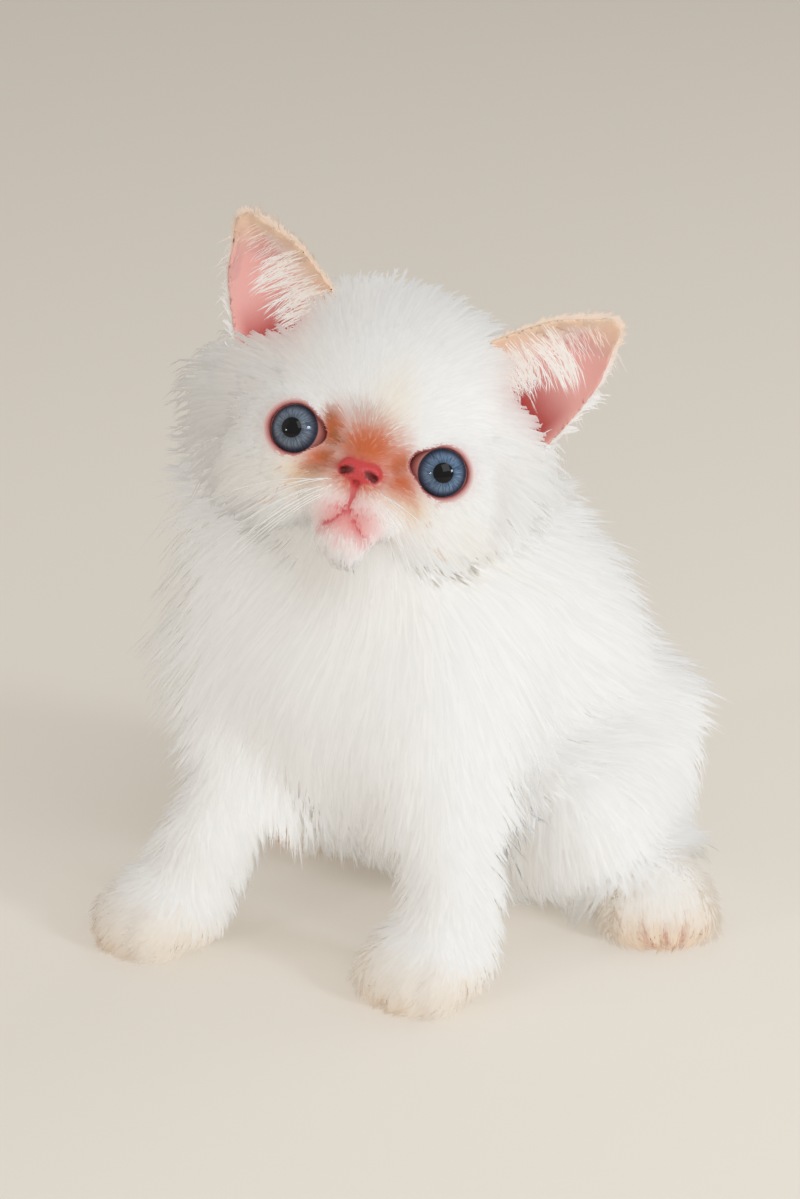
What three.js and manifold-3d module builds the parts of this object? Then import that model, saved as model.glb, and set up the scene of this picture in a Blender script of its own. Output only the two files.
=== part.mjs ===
// A long-haired kitten of about eight weeks, sitting with its head tilted, at life size.
// Millimetres, +Z up. It faces -Y, and its own left is +X. The floor is z = 0.
// Each mesh is one part of the body. A core stands for the flesh and the dense half of the coat,
// and flat tapered locks rooted in the core carry the long coat out to its tips.
import * as THREE from "three";
import { mergeVertices } from "three/addons/utils/BufferGeometryUtils.js";
import Module from "manifold-3d";

const wasm = await Module();
wasm.setup();

const V = (x, y, z) => new THREE.Vector3(x, y, z);
const rad = THREE.MathUtils.degToRad;
const { lerp, clamp, smoothstep } = THREE.MathUtils;

// Driving dimensions

const GAP = 0.35; // clearance kept between two parts that touch
const WELD = 1e-3; // points closer than this are one point
const SINK = 3; // how far the root of a lock lies below the core's surface
const FLOOR_SIDE = 600;
const FLOOR_DEPTH = 60;
const REACH = 200; // longer than any ray from inside the body to its surface
const HALVINGS = 30; // steps in which a surface is found along a ray
const FLAT_FACE_GROWTH = 1.2; // the flat faces between grown points lie a little further in
const TWISTED_FACE_GROWTH = 1.8;

// The head's place and turn. It looks up and to the kitten's left, with the left ear lower.
const SKULL = V(10, 24, 145);
const HEAD_YAW = 32;
const HEAD_PITCH = 20;
const HEAD_ROLL = 15.5;

const EYE = {
  side: 18.7, // from the middle of the face
  back: -14.2,
  height: -5,
  radius: 8.2,
  opening: 6.5, // radius of the gap between the lids
  lidRadius: 1.15,
  corneaRadius: 5.6,
  corneaAhead: 3.6,
  orbit: { widening: 4, depth: 8, ahead: 4.5 }, // the opening in the coat round the lids
  outward: 9, // degrees that each eye looks away from straight ahead
};

// The skull, cheeks, eye sockets, muzzle, chin and bridge of the nose, in the head's own axes
const FACE_FORM = {
  skull: { at: V(0, 4, 3), radii: V(30, 28, 27) },
  forehead: { at: V(0, -6, 9), radii: V(20, 16, 16) },
  cheek: { at: V(15, -8, -11), radii: V(14, 13, 12) },
  socket: { at: V(17.5, -12, -5), radii: V(11.5, 10, 10.5) },
  pad: { at: V(4.8, -21.3, -17.6), radii: V(6.8, 6, 6.4) },
  chin: { at: V(0, -18.5, -25), radii: V(7, 6.5, 5) },
  bridge: [
    { at: V(0, -17, -3), radius: 5 },
    { at: V(0, -22, -10), radius: 4.2 },
  ],
};

// The bare end of the nose
const NOSE = V(0, -25.6, -10.8);
const NOSE_FORM = {
  tip: { from: V(0, 0, 0), radii: V(3.6, 3.2, 2.6) },
  wing: { from: V(3.2, 0.6, 0.1), radii: V(2.3, 2.6, 2.3) },
  base: { from: V(0, 0.4, -2.4), radii: V(1.6, 2.4, 2) },
  nostril: { from: V(2.9, -2.4, -0.2), radii: V(1.15, 2.6, 0.8), turn: 28 },
};

// The mouth as places across and up the face: the cleft below the nose, and one lip
const MOUTH = {
  groove: 0.85,
  cleft: [[0, -13], [0, -16.6], [0, -20.4]],
  lip: [[0, -20.2], [1.8, -22], [4, -24.4], [5.6, -25.6]],
};

const EAR = {
  root: V(26, 3, 14.5),
  height: 40,
  width: 17, // half of the widest part
  cup: 10,
  thickness: 1.4,
  foot: 3, // how far the sheet goes on below its root
  lean: 38, // degrees from upright, outwards
  turn: 14, // degrees that the cup opens outwards from straight ahead
};

// A forepaw, about its own middle; the hind paws are a little larger
const PAW = {
  ball: { at: V(0, 1, 0), radii: V(12, 12, 8.4) },
  toe: V(3.9, 5.6, 5.2),
  toes: [-1.5, -0.5, 0.5, 1.5], // in steps of toeStep across the paw
  toeStep: 5.9,
  toeReach: -8.6,
  toeSetBack: 2, // for each step away from the paw's middle
  toeDrop: -2.4,
};
const HINDPAW_SIZE = 1.02;
const METATARSUS = { middle: { height: 11, radius: 7 }, end: { height: 10, radius: 7.5 } };

// How deep the coat is that the core of each part stands for
const COAT = {
  torso: 9,
  neck: 9,
  face: 1.6,
  crown: 5,
  cheek: 8,
  thigh: 6,
  foreleg: 3.5,
  paw: 2.5,
  hindfoot: 3,
  tail: 5,
};

// How softly the forms of one part melt into each other
const SOFT = { face: 1.6, trunk: 5, thigh: 4, limb: 1, paw: 1.1, eye: 0.5, nose: 0.7, body: 2 };

// How finely each core is meshed
const MESH = {
  torso: { around: 24, rings: 15 },
  neck: { around: 20, rings: 10 },
  head: { around: 36, rings: 25, crowding: 1.35 },
  thigh: { around: 14, rings: 9 },
  paw: { around: 18, rings: 10, crowding: 1.2 },
  eye: { around: 16, rings: 9 },
  nose: { around: 14, rings: 8 },
  foreleg: { sides: 10, steps: 6 },
  metatarsus: { sides: 10, steps: 3 },
  tail: { sides: 10, steps: 10 },
  groove: { sides: 5, steps: 4 },
  ear: { across: 8, up: 7 },
  lid: { corners: 5, around: 18 },
};

// Locks of each stretch of coat: how many would cover the whole of its part, and the size of one.
// Cling is how closely a lock that stands clear of the body is drawn back to it.
const LOCKS = {
  crown: { density: 54, length: 28, width: 18, thickness: 3.4, rise: 11, cling: 0 },
  cheek: { density: 74, length: 32, width: 18, thickness: 3.8, rise: 17, cling: 0 },
  collar: { density: 62, length: 42, width: 24, thickness: 4.6, rise: 16, cling: 0.3 },
  mane: { density: 120, length: 42, width: 24, thickness: 4.6, rise: 17, cling: 0.4 },
  torso: { density: 56, length: 46, width: 28, thickness: 5, rise: 13, cling: 0.4 },
  thigh: { density: 14, length: 34, width: 21, thickness: 4.2, rise: 8, cling: 0.5 },
  foreleg: { density: 8, length: 26, width: 13, thickness: 3.6, rise: 5, cling: 0.4 },
  tail: { density: 10, length: 34, width: 18, thickness: 4, rise: 5.5, cling: 0.4 },
};

// Points along the body, and the radius of the flesh at each
const BODY = {
  breast: { at: V(0, 30, 72), radius: 21 },
  withers: { at: V(0, 46, 93), radius: 23 },
  loin: { at: V(4, 76, 67), radius: 29 },
  rump: { at: V(7, 96, 33), radius: 27 },
  belly: { at: V(1, 46, 58), radius: 19 },
  groin: { at: V(5, 80, 38), radius: 25 },
  nape: { at: V(2, 42, 100), radius: 20 },
  poll: { at: V(9, 30, 128), radius: 18 },
};
const SIDES = [
  {
    name: "left",
    sign: 1,
    shoulder: { at: V(19, 38, 94), radius: 12 },
    point: { at: V(26, 26, 66), radius: 12 },
    elbow: { at: V(34, 20, 45), radius: 8.6 },
    forearm: { at: V(40.5, 14.5, 28), radius: 7.2 },
    wrist: { at: V(40.5, 12, 13), radius: 7.6 },
    forepaw: V(37.5, 6.5, 8),
    forepawTurn: -4,
    hip: { at: V(32, 99, 38), radius: 18 },
    knee: { at: V(43, 70, 31), radius: 13 },
    hock: { at: V(38, 100, 14), radius: 8 },
    hindpaw: V(65, 77, 8),
    hindpawTurn: 40,
  },
  {
    name: "right",
    sign: -1,
    shoulder: { at: V(-22, 32, 103), radius: 14 },
    point: { at: V(-25, 24, 68), radius: 12 },
    elbow: { at: V(-26.5, 12, 46), radius: 8.6 },
    forearm: { at: V(-31, 0, 28), radius: 7.2 },
    wrist: { at: V(-35.5, -4, 13), radius: 7.6 },
    forepaw: V(-40, -9, 8),
    forepawTurn: -26,
    hip: { at: V(-20, 99, 38), radius: 18 },
    knee: { at: V(-33, 70, 31), radius: 13 },
    hock: { at: V(-34, 100, 14), radius: 8 },
    hindpaw: V(-48, 77, 8),
    hindpawTurn: -30,
  },
];
const TAIL = [
  { at: V(5, 116, 22), radius: 8 },
  { at: V(-6, 134, 11.5), radius: 6.5 },
  { at: V(-28, 141, 9.8), radius: 5.5 },
  { at: V(-52, 128, 9.3), radius: 5 },
  { at: V(-62, 106, 7.8), radius: 3.5 },
];

// Distance fields, negative inside

const limb = (a, b, grow = 0) => {
  const along = b.at.clone().sub(a.at);
  const length2 = along.lengthSq();
  return (p) => {
    const t = clamp(p.clone().sub(a.at).dot(along) / length2, 0, 1);
    const middle = a.at.clone().addScaledVector(along, t);
    return p.distanceTo(middle) - lerp(a.radius, b.radius, t) - grow;
  };
};
const egg = (centre, radii, grow = 0) => {
  const r = radii.clone().addScalar(grow);
  return (p) => {
    const q = p.clone().sub(centre);
    const near = q.clone().divide(r).length();
    const slope = q.divide(r).divide(r).length();
    return slope > 1e-9 ? (near * (near - 1)) / slope : -Math.min(r.x, r.y, r.z);
  };
};
const limbsOf = (stations, grow) =>
  stations.slice(1).map((station, k) => limb(stations[k], station, grow));
const blend = (softness, ...fields) => (p) =>
  -softness * Math.log(fields.reduce((sum, f) => sum + Math.exp(-f(p) / softness), 0));
const moved = (matrix, field) => {
  const back = matrix.clone().invert();
  return (p) => field(p.clone().applyMatrix4(back));
};
const outward = (field, p) => {
  const h = 0.5;
  const slope = (dx, dy, dz) =>
    field(p.clone().add(V(dx, dy, dz))) - field(p.clone().sub(V(dx, dy, dz)));
  return V(slope(h, 0, 0), slope(0, h, 0), slope(0, 0, h)).normalize();
};

// Solids

function welded(geometry) {
  const bare = geometry.clone();
  bare.deleteAttribute("normal");
  bare.deleteAttribute("uv");
  return mergeVertices(bare, WELD);
}

function solid(geometry) {
  const merged = welded(geometry);
  return new wasm.Manifold(
    new wasm.Mesh({
      numProp: 3,
      vertProperties: new Float32Array(merged.attributes.position.array),
      triVerts: new Uint32Array(merged.index.array),
    }),
  );
}

function geometryOf(body) {
  const mesh = body.getMesh();
  const geometry = new THREE.BufferGeometry();
  geometry.setAttribute("position", new THREE.BufferAttribute(mesh.vertProperties, 3));
  geometry.setIndex(new THREE.BufferAttribute(mesh.triVerts, 1));
  return geometry;
}

const join = (bodies) => bodies.reduce((all, body) => all.add(body));
const carve = (body, cutters) => cutters.reduce((rest, cutter) => rest.subtract(cutter), body);
const biggest = (body) =>
  body.decompose().reduce((best, b) => (b.volume() > best.volume() ? b : best));
// The largest closed surface, also once its close points are welded
const largest = (body) => biggest(solid(geometryOf(biggest(body))));

// Where the ray from `centre` along `way` leaves a field
function exit(field, centre, way) {
  let near = 0;
  let far = REACH;
  for (let step = 0; step < HALVINGS; step++) {
    const middle = (near + far) / 2;
    if (field(centre.clone().addScaledVector(way, middle)) < 0) near = middle;
    else far = middle;
  }
  return centre.clone().addScaledVector(way, near);
}

// A closed surface wrapped onto a field, with a sphere's mesh whose pole looks along `pole`.
// `crowding` above 1 brings the rings closer together at that pole. A grown surface has the same
// points, moved out, so it always holds the plain one.
function wrap(field, centre, { around, rings, grow = 0, pole = V(0, 0, 1), crowding = 1 }) {
  const geometry = new THREE.SphereGeometry(1, around, rings);
  const turn = new THREE.Quaternion().setFromUnitVectors(V(0, 1, 0), pole);
  const place = geometry.attributes.position;
  for (let i = 0; i < place.count; i++) {
    const unit = new THREE.Vector3().fromBufferAttribute(place, i).normalize();
    const polar = Math.acos(clamp(unit.y, -1, 1));
    const crowded = Math.PI * (polar / Math.PI) ** crowding;
    const flat = V(unit.x, 0, unit.z);
    if (flat.length() > 1e-6) {
      flat.normalize().multiplyScalar(Math.sin(crowded));
      unit.set(flat.x, Math.cos(crowded), flat.z);
    }
    unit.applyQuaternion(turn);
    const p = exit(field, centre, unit);
    place.setXYZ(i, p.x, p.y, p.z);
  }
  return solid(puffed(geometry, grow * FLAT_FACE_GROWTH));
}

// A surface with every point moved out along the mean of the faces that meet there
function puffed(geometry, distance) {
  const whole = welded(geometry);
  whole.computeVertexNormals();
  const place = whole.attributes.position;
  for (let i = 0; i < place.count; i++) {
    const p = V(0, 0, 0).fromBufferAttribute(place, i);
    const away = V(0, 0, 0).fromBufferAttribute(whole.attributes.normal, i);
    p.addScaledVector(away, distance);
    place.setXYZ(i, p.x, p.y, p.z);
  }
  return whole;
}

// A closed skin over rings of points, each ring ordered the same way round, with a point at each end
function skinOver(first, rings, last) {
  const sides = rings[0].length;
  const points = [first, ...rings.flat(), last];
  const end = points.length - 1;
  const faces = [];
  for (let k = 0; k < sides; k++) {
    const next = (k + 1) % sides;
    faces.push(0, 1 + next, 1 + k);
    for (let r = 0; r + 1 < rings.length; r++) {
      const low = 1 + r * sides;
      const high = low + sides;
      faces.push(low + k, low + next, high + next, low + k, high + next, high + k);
    }
    const top = 1 + (rings.length - 1) * sides;
    faces.push(end, top + k, top + next);
  }
  const geometry = new THREE.BufferGeometry();
  geometry.setAttribute(
    "position",
    new THREE.Float32BufferAttribute(points.flatMap((p) => [p.x, p.y, p.z]), 3),
  );
  geometry.setIndex(faces);
  return solid(geometry);
}

// A round limb through stations of place and radius, with domed ends
function tube(stations, { sides, steps, grow = 0 }) {
  const curve = new THREE.CatmullRomCurve3(stations.map((s) => s.at));
  const count = stations.length - 1;
  const radiusAt = (t) => {
    const k = Math.min(Math.floor(t * count), count - 1);
    return lerp(stations[k].radius, stations[k + 1].radius, t * count - k) + grow;
  };
  const { tangents, normals, binormals } = curve.computeFrenetFrames(steps);
  const ring = (k, shift, share) =>
    Array.from({ length: sides }, (_, j) => {
      const angle = (2 * Math.PI * j) / sides;
      const t = k / steps;
      return curve
        .getPoint(t)
        .addScaledVector(tangents[k], shift)
        .addScaledVector(normals[k], Math.cos(angle) * radiusAt(t) * share)
        .addScaledVector(binormals[k], Math.sin(angle) * radiusAt(t) * share);
    });
  const dome = 0.6;
  const body = Array.from({ length: steps + 1 }, (_, k) => ring(k, 0, 1));
  const tip = (k, way, share) =>
    curve.getPoint(k / steps).addScaledVector(tangents[k], way * share * radiusAt(k / steps));
  const start = ring(0, -dome * radiusAt(0), 0.75);
  const end = ring(steps, dome * radiusAt(1), 0.75);
  return skinOver(tip(0, -1, 0.95), [start, ...body, end], tip(steps, 1, 0.95));
}

// The core of each part

const headPose = new THREE.Matrix4().compose(
  SKULL,
  new THREE.Quaternion().setFromEuler(
    new THREE.Euler(rad(-HEAD_PITCH), rad(HEAD_ROLL), rad(HEAD_YAW), "ZXY"),
  ),
  V(1, 1, 1),
);
const onHead = (p) => p.clone().applyMatrix4(headPose);
const mirrored = (make) => [make(1), make(-1)];

const aside = (place, sign) => V(place.x * sign, place.y, place.z);
const single = ({ at, radii }) => egg(at, radii);
const paired = ({ at, radii }) => mirrored((s) => egg(aside(at, s), radii));
// The coat grows deeper from the nose to the cheeks, and on the crown and nape.
const faceCoat = (p) => {
  const wide = smoothstep(Math.abs(p.x), 16, 36) * smoothstep(p.y, -20, 0);
  const crown = smoothstep(p.z, 8, 26) * smoothstep(p.y, -20, -4);
  const behind = smoothstep(p.y, -2, 22);
  const cheek = Math.max(wide, behind) * (COAT.cheek - COAT.face);
  return COAT.face + Math.max(cheek, crown * (COAT.crown - COAT.face));
};
const faceFlesh = blend(
  SOFT.face,
  single(FACE_FORM.skull),
  single(FACE_FORM.forehead),
  ...paired(FACE_FORM.cheek),
  ...paired(FACE_FORM.socket),
  ...paired(FACE_FORM.pad),
  single(FACE_FORM.chin),
  limb(...FACE_FORM.bridge),
);
const faceField = (p) => faceFlesh(p) - faceCoat(p);
const headField = moved(headPose, faceField);

const torsoField = blend(
  SOFT.trunk,
  limb(BODY.breast, BODY.withers, COAT.torso),
  limb(BODY.withers, BODY.loin, COAT.torso),
  limb(BODY.loin, BODY.rump, COAT.torso),
  limb(BODY.belly, BODY.groin, COAT.torso),
  ...SIDES.map((s) => limb(s.shoulder, s.point, COAT.torso)),
);
// The ruff stands out at the sides and the nape, and thins below the face.
const THROAT_THINNING = 0.72;
const throat = limb(BODY.nape, BODY.poll);
const faceWay = V(0, -1, 0).transformDirection(headPose);
const neckField = (p) => {
  const forward = p.clone().sub(BODY.poll.at).dot(faceWay);
  return throat(p) - COAT.neck * (1 - THROAT_THINNING * smoothstep(forward, 2, 24));
};
const thighField = (s) =>
  blend(SOFT.thigh, limb(s.hip, s.knee, COAT.thigh), limb(s.knee, s.hock, COAT.thigh - 2));
const forelegLine = (s) => [s.point, s.elbow, s.forearm, s.wrist];
const forelegField = (s) => blend(SOFT.limb, ...limbsOf(forelegLine(s), COAT.foreleg));
const tailField = blend(SOFT.limb, ...limbsOf(TAIL, COAT.tail));

const TORSO_CENTRE = V(2, 64, 62);
const NECK_CENTRE = V(5, 37, 112);
const thighCentre = (s) => s.hip.at.clone().lerp(s.knee.at, 0.45);

const torsoCore = (grow) => wrap(torsoField, TORSO_CENTRE, { ...MESH.torso, grow });
const neckCore = (grow) => wrap(neckField, NECK_CENTRE, { ...MESH.neck, grow });
// The rings of the head's mesh run round the muzzle, closest together there.
const headCore = (grow) =>
  wrap(headField, SKULL, {
    ...MESH.head,
    grow,
    pole: V(0, -1, -0.28).normalize().transformDirection(headPose),
  });
const thighCore = (s, grow) => wrap(thighField(s), thighCentre(s), { ...MESH.thigh, grow });
const forelegCore = (s, grow) =>
  tube(forelegLine(s), { ...MESH.foreleg, grow: COAT.foreleg + grow });
const tailCore = (grow) => tube(TAIL, { ...MESH.tail, grow: COAT.tail + grow });

// A paw: the ball of the foot with four toes in front of it, cut flat on the floor
function pawCore(centre, turn, size, grow) {
  const pose = new THREE.Matrix4().makeRotationZ(rad(turn)).setPosition(centre);
  const toes = PAW.toes.map((k) => {
    const reach = PAW.toeReach + Math.abs(k) * PAW.toeSetBack;
    const place = V(k * PAW.toeStep, reach, PAW.toeDrop).multiplyScalar(size);
    return egg(place, PAW.toe.clone().multiplyScalar(size));
  });
  const ball = egg(PAW.ball.at, PAW.ball.radii.clone().multiplyScalar(size));
  const foot = moved(pose, blend(SOFT.paw, ball, ...toes));
  return wrap((p) => foot(p) - COAT.paw, centre, {
    ...MESH.paw,
    grow,
    pole: V(0, -1, 0).transformDirection(pose),
  });
}

// The metatarsus lies from the hock to the ball of the hind paw.
function metatarsus(s, grow) {
  const { middle, end } = METATARSUS;
  const halfway = s.hock.at.clone().lerp(s.hindpaw, 0.5);
  const line = [
    s.hock,
    { at: halfway.setZ(middle.height), radius: middle.radius },
    { at: s.hindpaw.clone().setZ(end.height), radius: end.radius },
  ];
  return tube(line, { ...MESH.metatarsus, grow: COAT.hindfoot + grow });
}
const hindfootCore = (s, grow) =>
  metatarsus(s, grow).add(pawCore(s.hindpaw, s.hindpawTurn, HINDPAW_SIZE, grow));

// The eyes, seated in the head and looking along `gaze`
const gaze = (sign) =>
  V(Math.sin(rad(EYE.outward)) * sign, -Math.cos(rad(EYE.outward)), 0).normalize();
const eyeCentre = (sign) => V(EYE.side * sign, EYE.back, EYE.height);
function eyeball(sign, grow) {
  const ball = egg(V(0, 0, 0), V(1, 1, 1).multiplyScalar(EYE.radius));
  const bulge = V(1, 1, 1).multiplyScalar(EYE.corneaRadius);
  const cornea = egg(gaze(sign).multiplyScalar(EYE.corneaAhead), bulge);
  const place = new THREE.Matrix4().setPosition(eyeCentre(sign));
  const field = moved(place, blend(SOFT.eye, ball, cornea));
  return wrap(moved(headPose, field), onHead(eyeCentre(sign)), {
    ...MESH.eye,
    grow,
    pole: gaze(sign).transformDirection(headPose),
  });
}

// A ring of lid round each eye, turned about the gaze
const LID_CLEAR = 0.6; // from the ball of the eye to the middle of the lid
function lid(sign) {
  const { corners, around } = MESH.lid;
  const profile = Array.from({ length: corners + 1 }, (_, k) => {
    const angle = (2 * Math.PI * (k % corners)) / corners;
    return new THREE.Vector2(
      EYE.opening + EYE.lidRadius * (1 + Math.cos(angle)),
      EYE.lidRadius * 1.2 * Math.sin(angle),
    );
  });
  const ring = new THREE.LatheGeometry(profile, around);
  const onFace = new THREE.Quaternion().setFromUnitVectors(V(0, 1, 0), gaze(sign));
  const ahead = Math.sqrt((EYE.radius + LID_CLEAR) ** 2 - (EYE.opening + EYE.lidRadius) ** 2);
  const centre = eyeCentre(sign).addScaledVector(gaze(sign), ahead);
  ring.applyMatrix4(new THREE.Matrix4().compose(centre, onFace, V(1, 1, 1)));
  return solid(ring.applyMatrix4(headPose));
}

// The bare end of the nose, with its wings and nostrils
const onNose = ({ from, radii }, sign = 1) => egg(NOSE.clone().add(aside(from, sign)), radii);
function nose() {
  const wings = mirrored((s) => onNose(NOSE_FORM.wing, s));
  const field = blend(SOFT.nose, onNose(NOSE_FORM.tip), ...wings, onNose(NOSE_FORM.base));
  return wrap(moved(headPose, field), onHead(NOSE), { ...MESH.nose, pole: faceWay });
}
function nostril(sign) {
  const { from, radii, turn } = NOSE_FORM.nostril;
  const place = NOSE.clone().add(aside(from, sign));
  const hole = new THREE.SphereGeometry(1, 8, 6);
  hole.scale(radii.x, radii.y, radii.z);
  hole.rotateY(rad(turn * sign));
  hole.translate(place.x, place.y, place.z);
  return solid(hole.applyMatrix4(headPose));
}

// The cleft below the nose, and the line of the mouth that falls away to both sides of it
const WITHIN_MUZZLE = -10;
const AHEAD = V(0, -1, 0);
const onFront = (x, z) => exit(faceField, V(x, WITHIN_MUZZLE, z), AHEAD);
function mouthLine() {
  const groove = (places) =>
    tube(
      places.map(([x, z]) => ({ at: onHead(onFront(x, z)), radius: MOUTH.groove })),
      MESH.groove,
    );
  const lips = mirrored((s) => groove(MOUTH.lip.map(([x, z]) => [x * s, z])));
  return join([groove(MOUTH.cleft), ...lips]);
}

// An ear: a cupped sheet, wide at the base, that leans outwards to a rounded tip
function ear(sign, grow) {
  const pose = new THREE.Matrix4()
    .makeRotationZ(rad(EAR.turn * sign))
    .premultiply(new THREE.Matrix4().makeRotationY(rad(EAR.lean * sign)))
    .setPosition(aside(EAR.root, sign));
  const sheet = (u, v) => {
    const taper = Math.sqrt(1 - clamp(v, 0, 1) ** 2.3) * (1 - 0.18 * v);
    const x = (EAR.width + grow) * u * taper;
    const y = EAR.cup * (1 - u * u) * (1 - 0.75 * v) - 2 * v * v;
    return V(x, y, (EAR.height + grow) * v - EAR.foot * (1 - v));
  };
  const { across, up } = MESH.ear;
  const side = (shift) =>
    Array.from({ length: up + 1 }, (_, j) =>
      Array.from({ length: across + 1 }, (_, i) => {
        const u = (2 * i) / across - 1;
        const v = 0.995 * Math.sin((Math.PI / 2) * (j / up));
        const p = sheet(u, v);
        const du = sheet(u + 0.01, v).sub(sheet(u - 0.01, v));
        const dv = sheet(u, v + 0.004).sub(sheet(u, v - 0.004));
        return p.addScaledVector(du.cross(dv).normalize(), shift);
      }),
    );
  const half = EAR.thickness / 2 + grow;
  const [front, back] = [side(half), side(-half)];
  const rings = front.map((row, j) => [...row, ...back[j].slice().reverse()]);
  return solid(stitch(rings).applyMatrix4(pose).applyMatrix4(headPose));
}

// Rings of points joined into one surface, with each end closed across the thin section
function stitch(rings) {
  const sides = rings[0].length;
  const points = rings.flat();
  const faces = [];
  for (let r = 0; r + 1 < rings.length; r++)
    for (let k = 0; k < sides; k++) {
      const next = (k + 1) % sides;
      const low = r * sides;
      const high = low + sides;
      faces.push(low + k, low + next, high + next, low + k, high + next, high + k);
    }
  const cap = (start, flip) => {
    for (let k = 0; k + 1 < sides / 2; k++) {
      const [a, b, c, d] = [k, k + 1, sides - 2 - k, sides - 1 - k].map((n) => start + n);
      if (flip) faces.push(a, c, b, a, d, c);
      else faces.push(a, b, c, a, c, d);
    }
  };
  cap(0, true);
  cap((rings.length - 1) * sides, false);
  const geometry = new THREE.BufferGeometry();
  geometry.setAttribute(
    "position",
    new THREE.Float32BufferAttribute(points.flatMap((p) => [p.x, p.y, p.z]), 3),
  );
  geometry.setIndex(faces);
  return geometry;
}

// The opening between the lids, which widens outwards into the orbit
function eyeOpening(sign) {
  const { widening, depth, ahead } = EYE.orbit;
  const cone = new THREE.CylinderGeometry(EYE.opening + widening, EYE.opening, depth, 24);
  const onFace = new THREE.Quaternion().setFromUnitVectors(V(0, 1, 0), gaze(sign));
  const centre = eyeCentre(sign).addScaledVector(gaze(sign), ahead + depth / 2);
  cone.applyMatrix4(new THREE.Matrix4().compose(centre, onFace, V(1, 1, 1)));
  return solid(cone.applyMatrix4(headPose));
}

function headSolid() {
  const carved = carve(headCore(0), mirrored(eyeOpening));
  const lidded = join([carved, nose(), ...mirrored(lid)]);
  return carve(lidded, [
    ...mirrored((s) => eyeball(s, GAP)),
    ...mirrored(nostril),
    mouthLine(),
  ]);
}

// Locks of the long coat

// Fields of all the cores together, which the locks lie on
const wholeBody = blend(
  SOFT.body,
  headField,
  torsoField,
  neckField,
  ...SIDES.map(thighField),
  ...SIDES.map(forelegField),
  tailField,
);

const DOWN = V(0, 0, -1);
const along = (way, normal) => way.clone().addScaledVector(normal, -way.dot(normal)).normalize();
const turned = (from, to, most) =>
  from.clone().lerp(to, Math.min(1, most / Math.max(from.angleTo(to), 1e-6))).normalize();

// A lock is a flat strip of hair with a low ridge. It is rooted in the core, bends over along the lie
// of the coat, rises to the coat's full depth and tapers to a point.
const LOCK_SHAPE = [
  { along: 0, width: 0.75, thickness: 1 },
  { along: 0.38, width: 1, thickness: 0.9 },
  { along: 0.75, width: 0.68, thickness: 0.6 },
];
const MOST_BEND = rad(38); // from one ring to the next, so that no lock folds into itself
const MOST_TURN = rad(24);
const MOST_TWIST = rad(8);
const MOST_LEAN = 0.25; // radians that a lock leans or twists away from the lie of the coat
const MOST_STEP_OUT = 0.6; // outwards, of the length from one ring to the next
function lock(root, form, chance, grow) {
  const { length, width, thickness, rise, lie, cling } = form;
  const reach = length * lerp(0.85, 1.15, chance());
  const lift = rise * lerp(0.8, 1.15, chance());
  const lean = MOST_LEAN * lerp(-1, 1, chance());
  const twist = MOST_LEAN * lerp(-1, 1, chance());
  const place = root.clone();
  let normal = outward(wholeBody, place);
  let way = along(lie(place, normal), normal).applyAxisAngle(normal, lean);
  const start = root.clone().addScaledVector(normal, -SINK - 2).addScaledVector(way, -SINK);
  let last = 0;
  const line = LOCK_SHAPE.map((shape) => {
    const step = (shape.along - last) * reach;
    last = shape.along;
    place.addScaledVector(way, step);
    normal = turned(normal, outward(wholeBody, place), MOST_BEND);
    const height = lerp(-SINK, lift, shape.along ** 0.8);
    const off = wholeBody(place);
    const most = step ? step * MOST_STEP_OUT : SINK;
    const out = clamp((height - off) * (off < height ? 1 : cling), -most, most);
    place.addScaledVector(normal, out);
    const next = along(lie(place, normal), normal).applyAxisAngle(normal, lean);
    way = along(turned(along(way, normal), next, MOST_TURN), normal);
    return { place: place.clone(), normal, shape };
  });
  const tip = place.clone().addScaledVector(way, (1 - last) * reach);
  const points = [start, ...line.map((station) => station.place), tip];
  let flat = line[0].normal;
  const rings = line.map(({ place: middle, normal: away, shape }, k) => {
    const onward = points[k + 2].clone().sub(points[k]).normalize();
    const wanted = along(away, onward).applyAxisAngle(onward, twist);
    flat = k ? turned(along(flat, onward), wanted, MOST_TWIST) : wanted;
    const across = flat.clone().cross(onward);
    const half = (width * shape.width) / 2;
    const ridge = (thickness * shape.thickness) / 2;
    const slope = Math.hypot(2 * ridge, half);
    const more = grow * TWISTED_FACE_GROWTH;
    const edge = half + (more * (half + slope)) / (2 * ridge);
    const top = ridge + (more * slope) / half;
    const under = -ridge - more;
    return [
      middle.clone().addScaledVector(across, edge).addScaledVector(flat, under),
      middle.clone().addScaledVector(flat, top),
      middle.clone().addScaledVector(across, -edge).addScaledVector(flat, under),
    ];
  });
  const ends = [start.clone().sub(line[0].place), tip.clone().sub(place)];
  const [before, after] = ends.map((end) => end.setLength(end.length() + 3 * grow));
  return skinOver(before.add(line[0].place), rings, after.add(place));
}

// Places spread evenly over a part's core, by turns of the golden angle
const GOLDEN = Math.PI * (3 - Math.sqrt(5));
function spread(field, centre, count) {
  return Array.from({ length: count }, (_, k) => {
    const up = 1 - (2 * (k + 0.5)) / count;
    const flat = Math.sqrt(1 - up * up);
    return exit(field, centre, V(flat * Math.cos(k * GOLDEN), flat * Math.sin(k * GOLDEN), up));
  });
}
// Chance draws from 0 to 1, the same on every run
const MODULUS = 2 ** 31 - 1;
const MULTIPLIER = 16807;
function seeded(seed) {
  let state = seed;
  return () => {
    state = (state * MULTIPLIER) % MODULUS;
    return state / MODULUS;
  };
}

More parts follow.
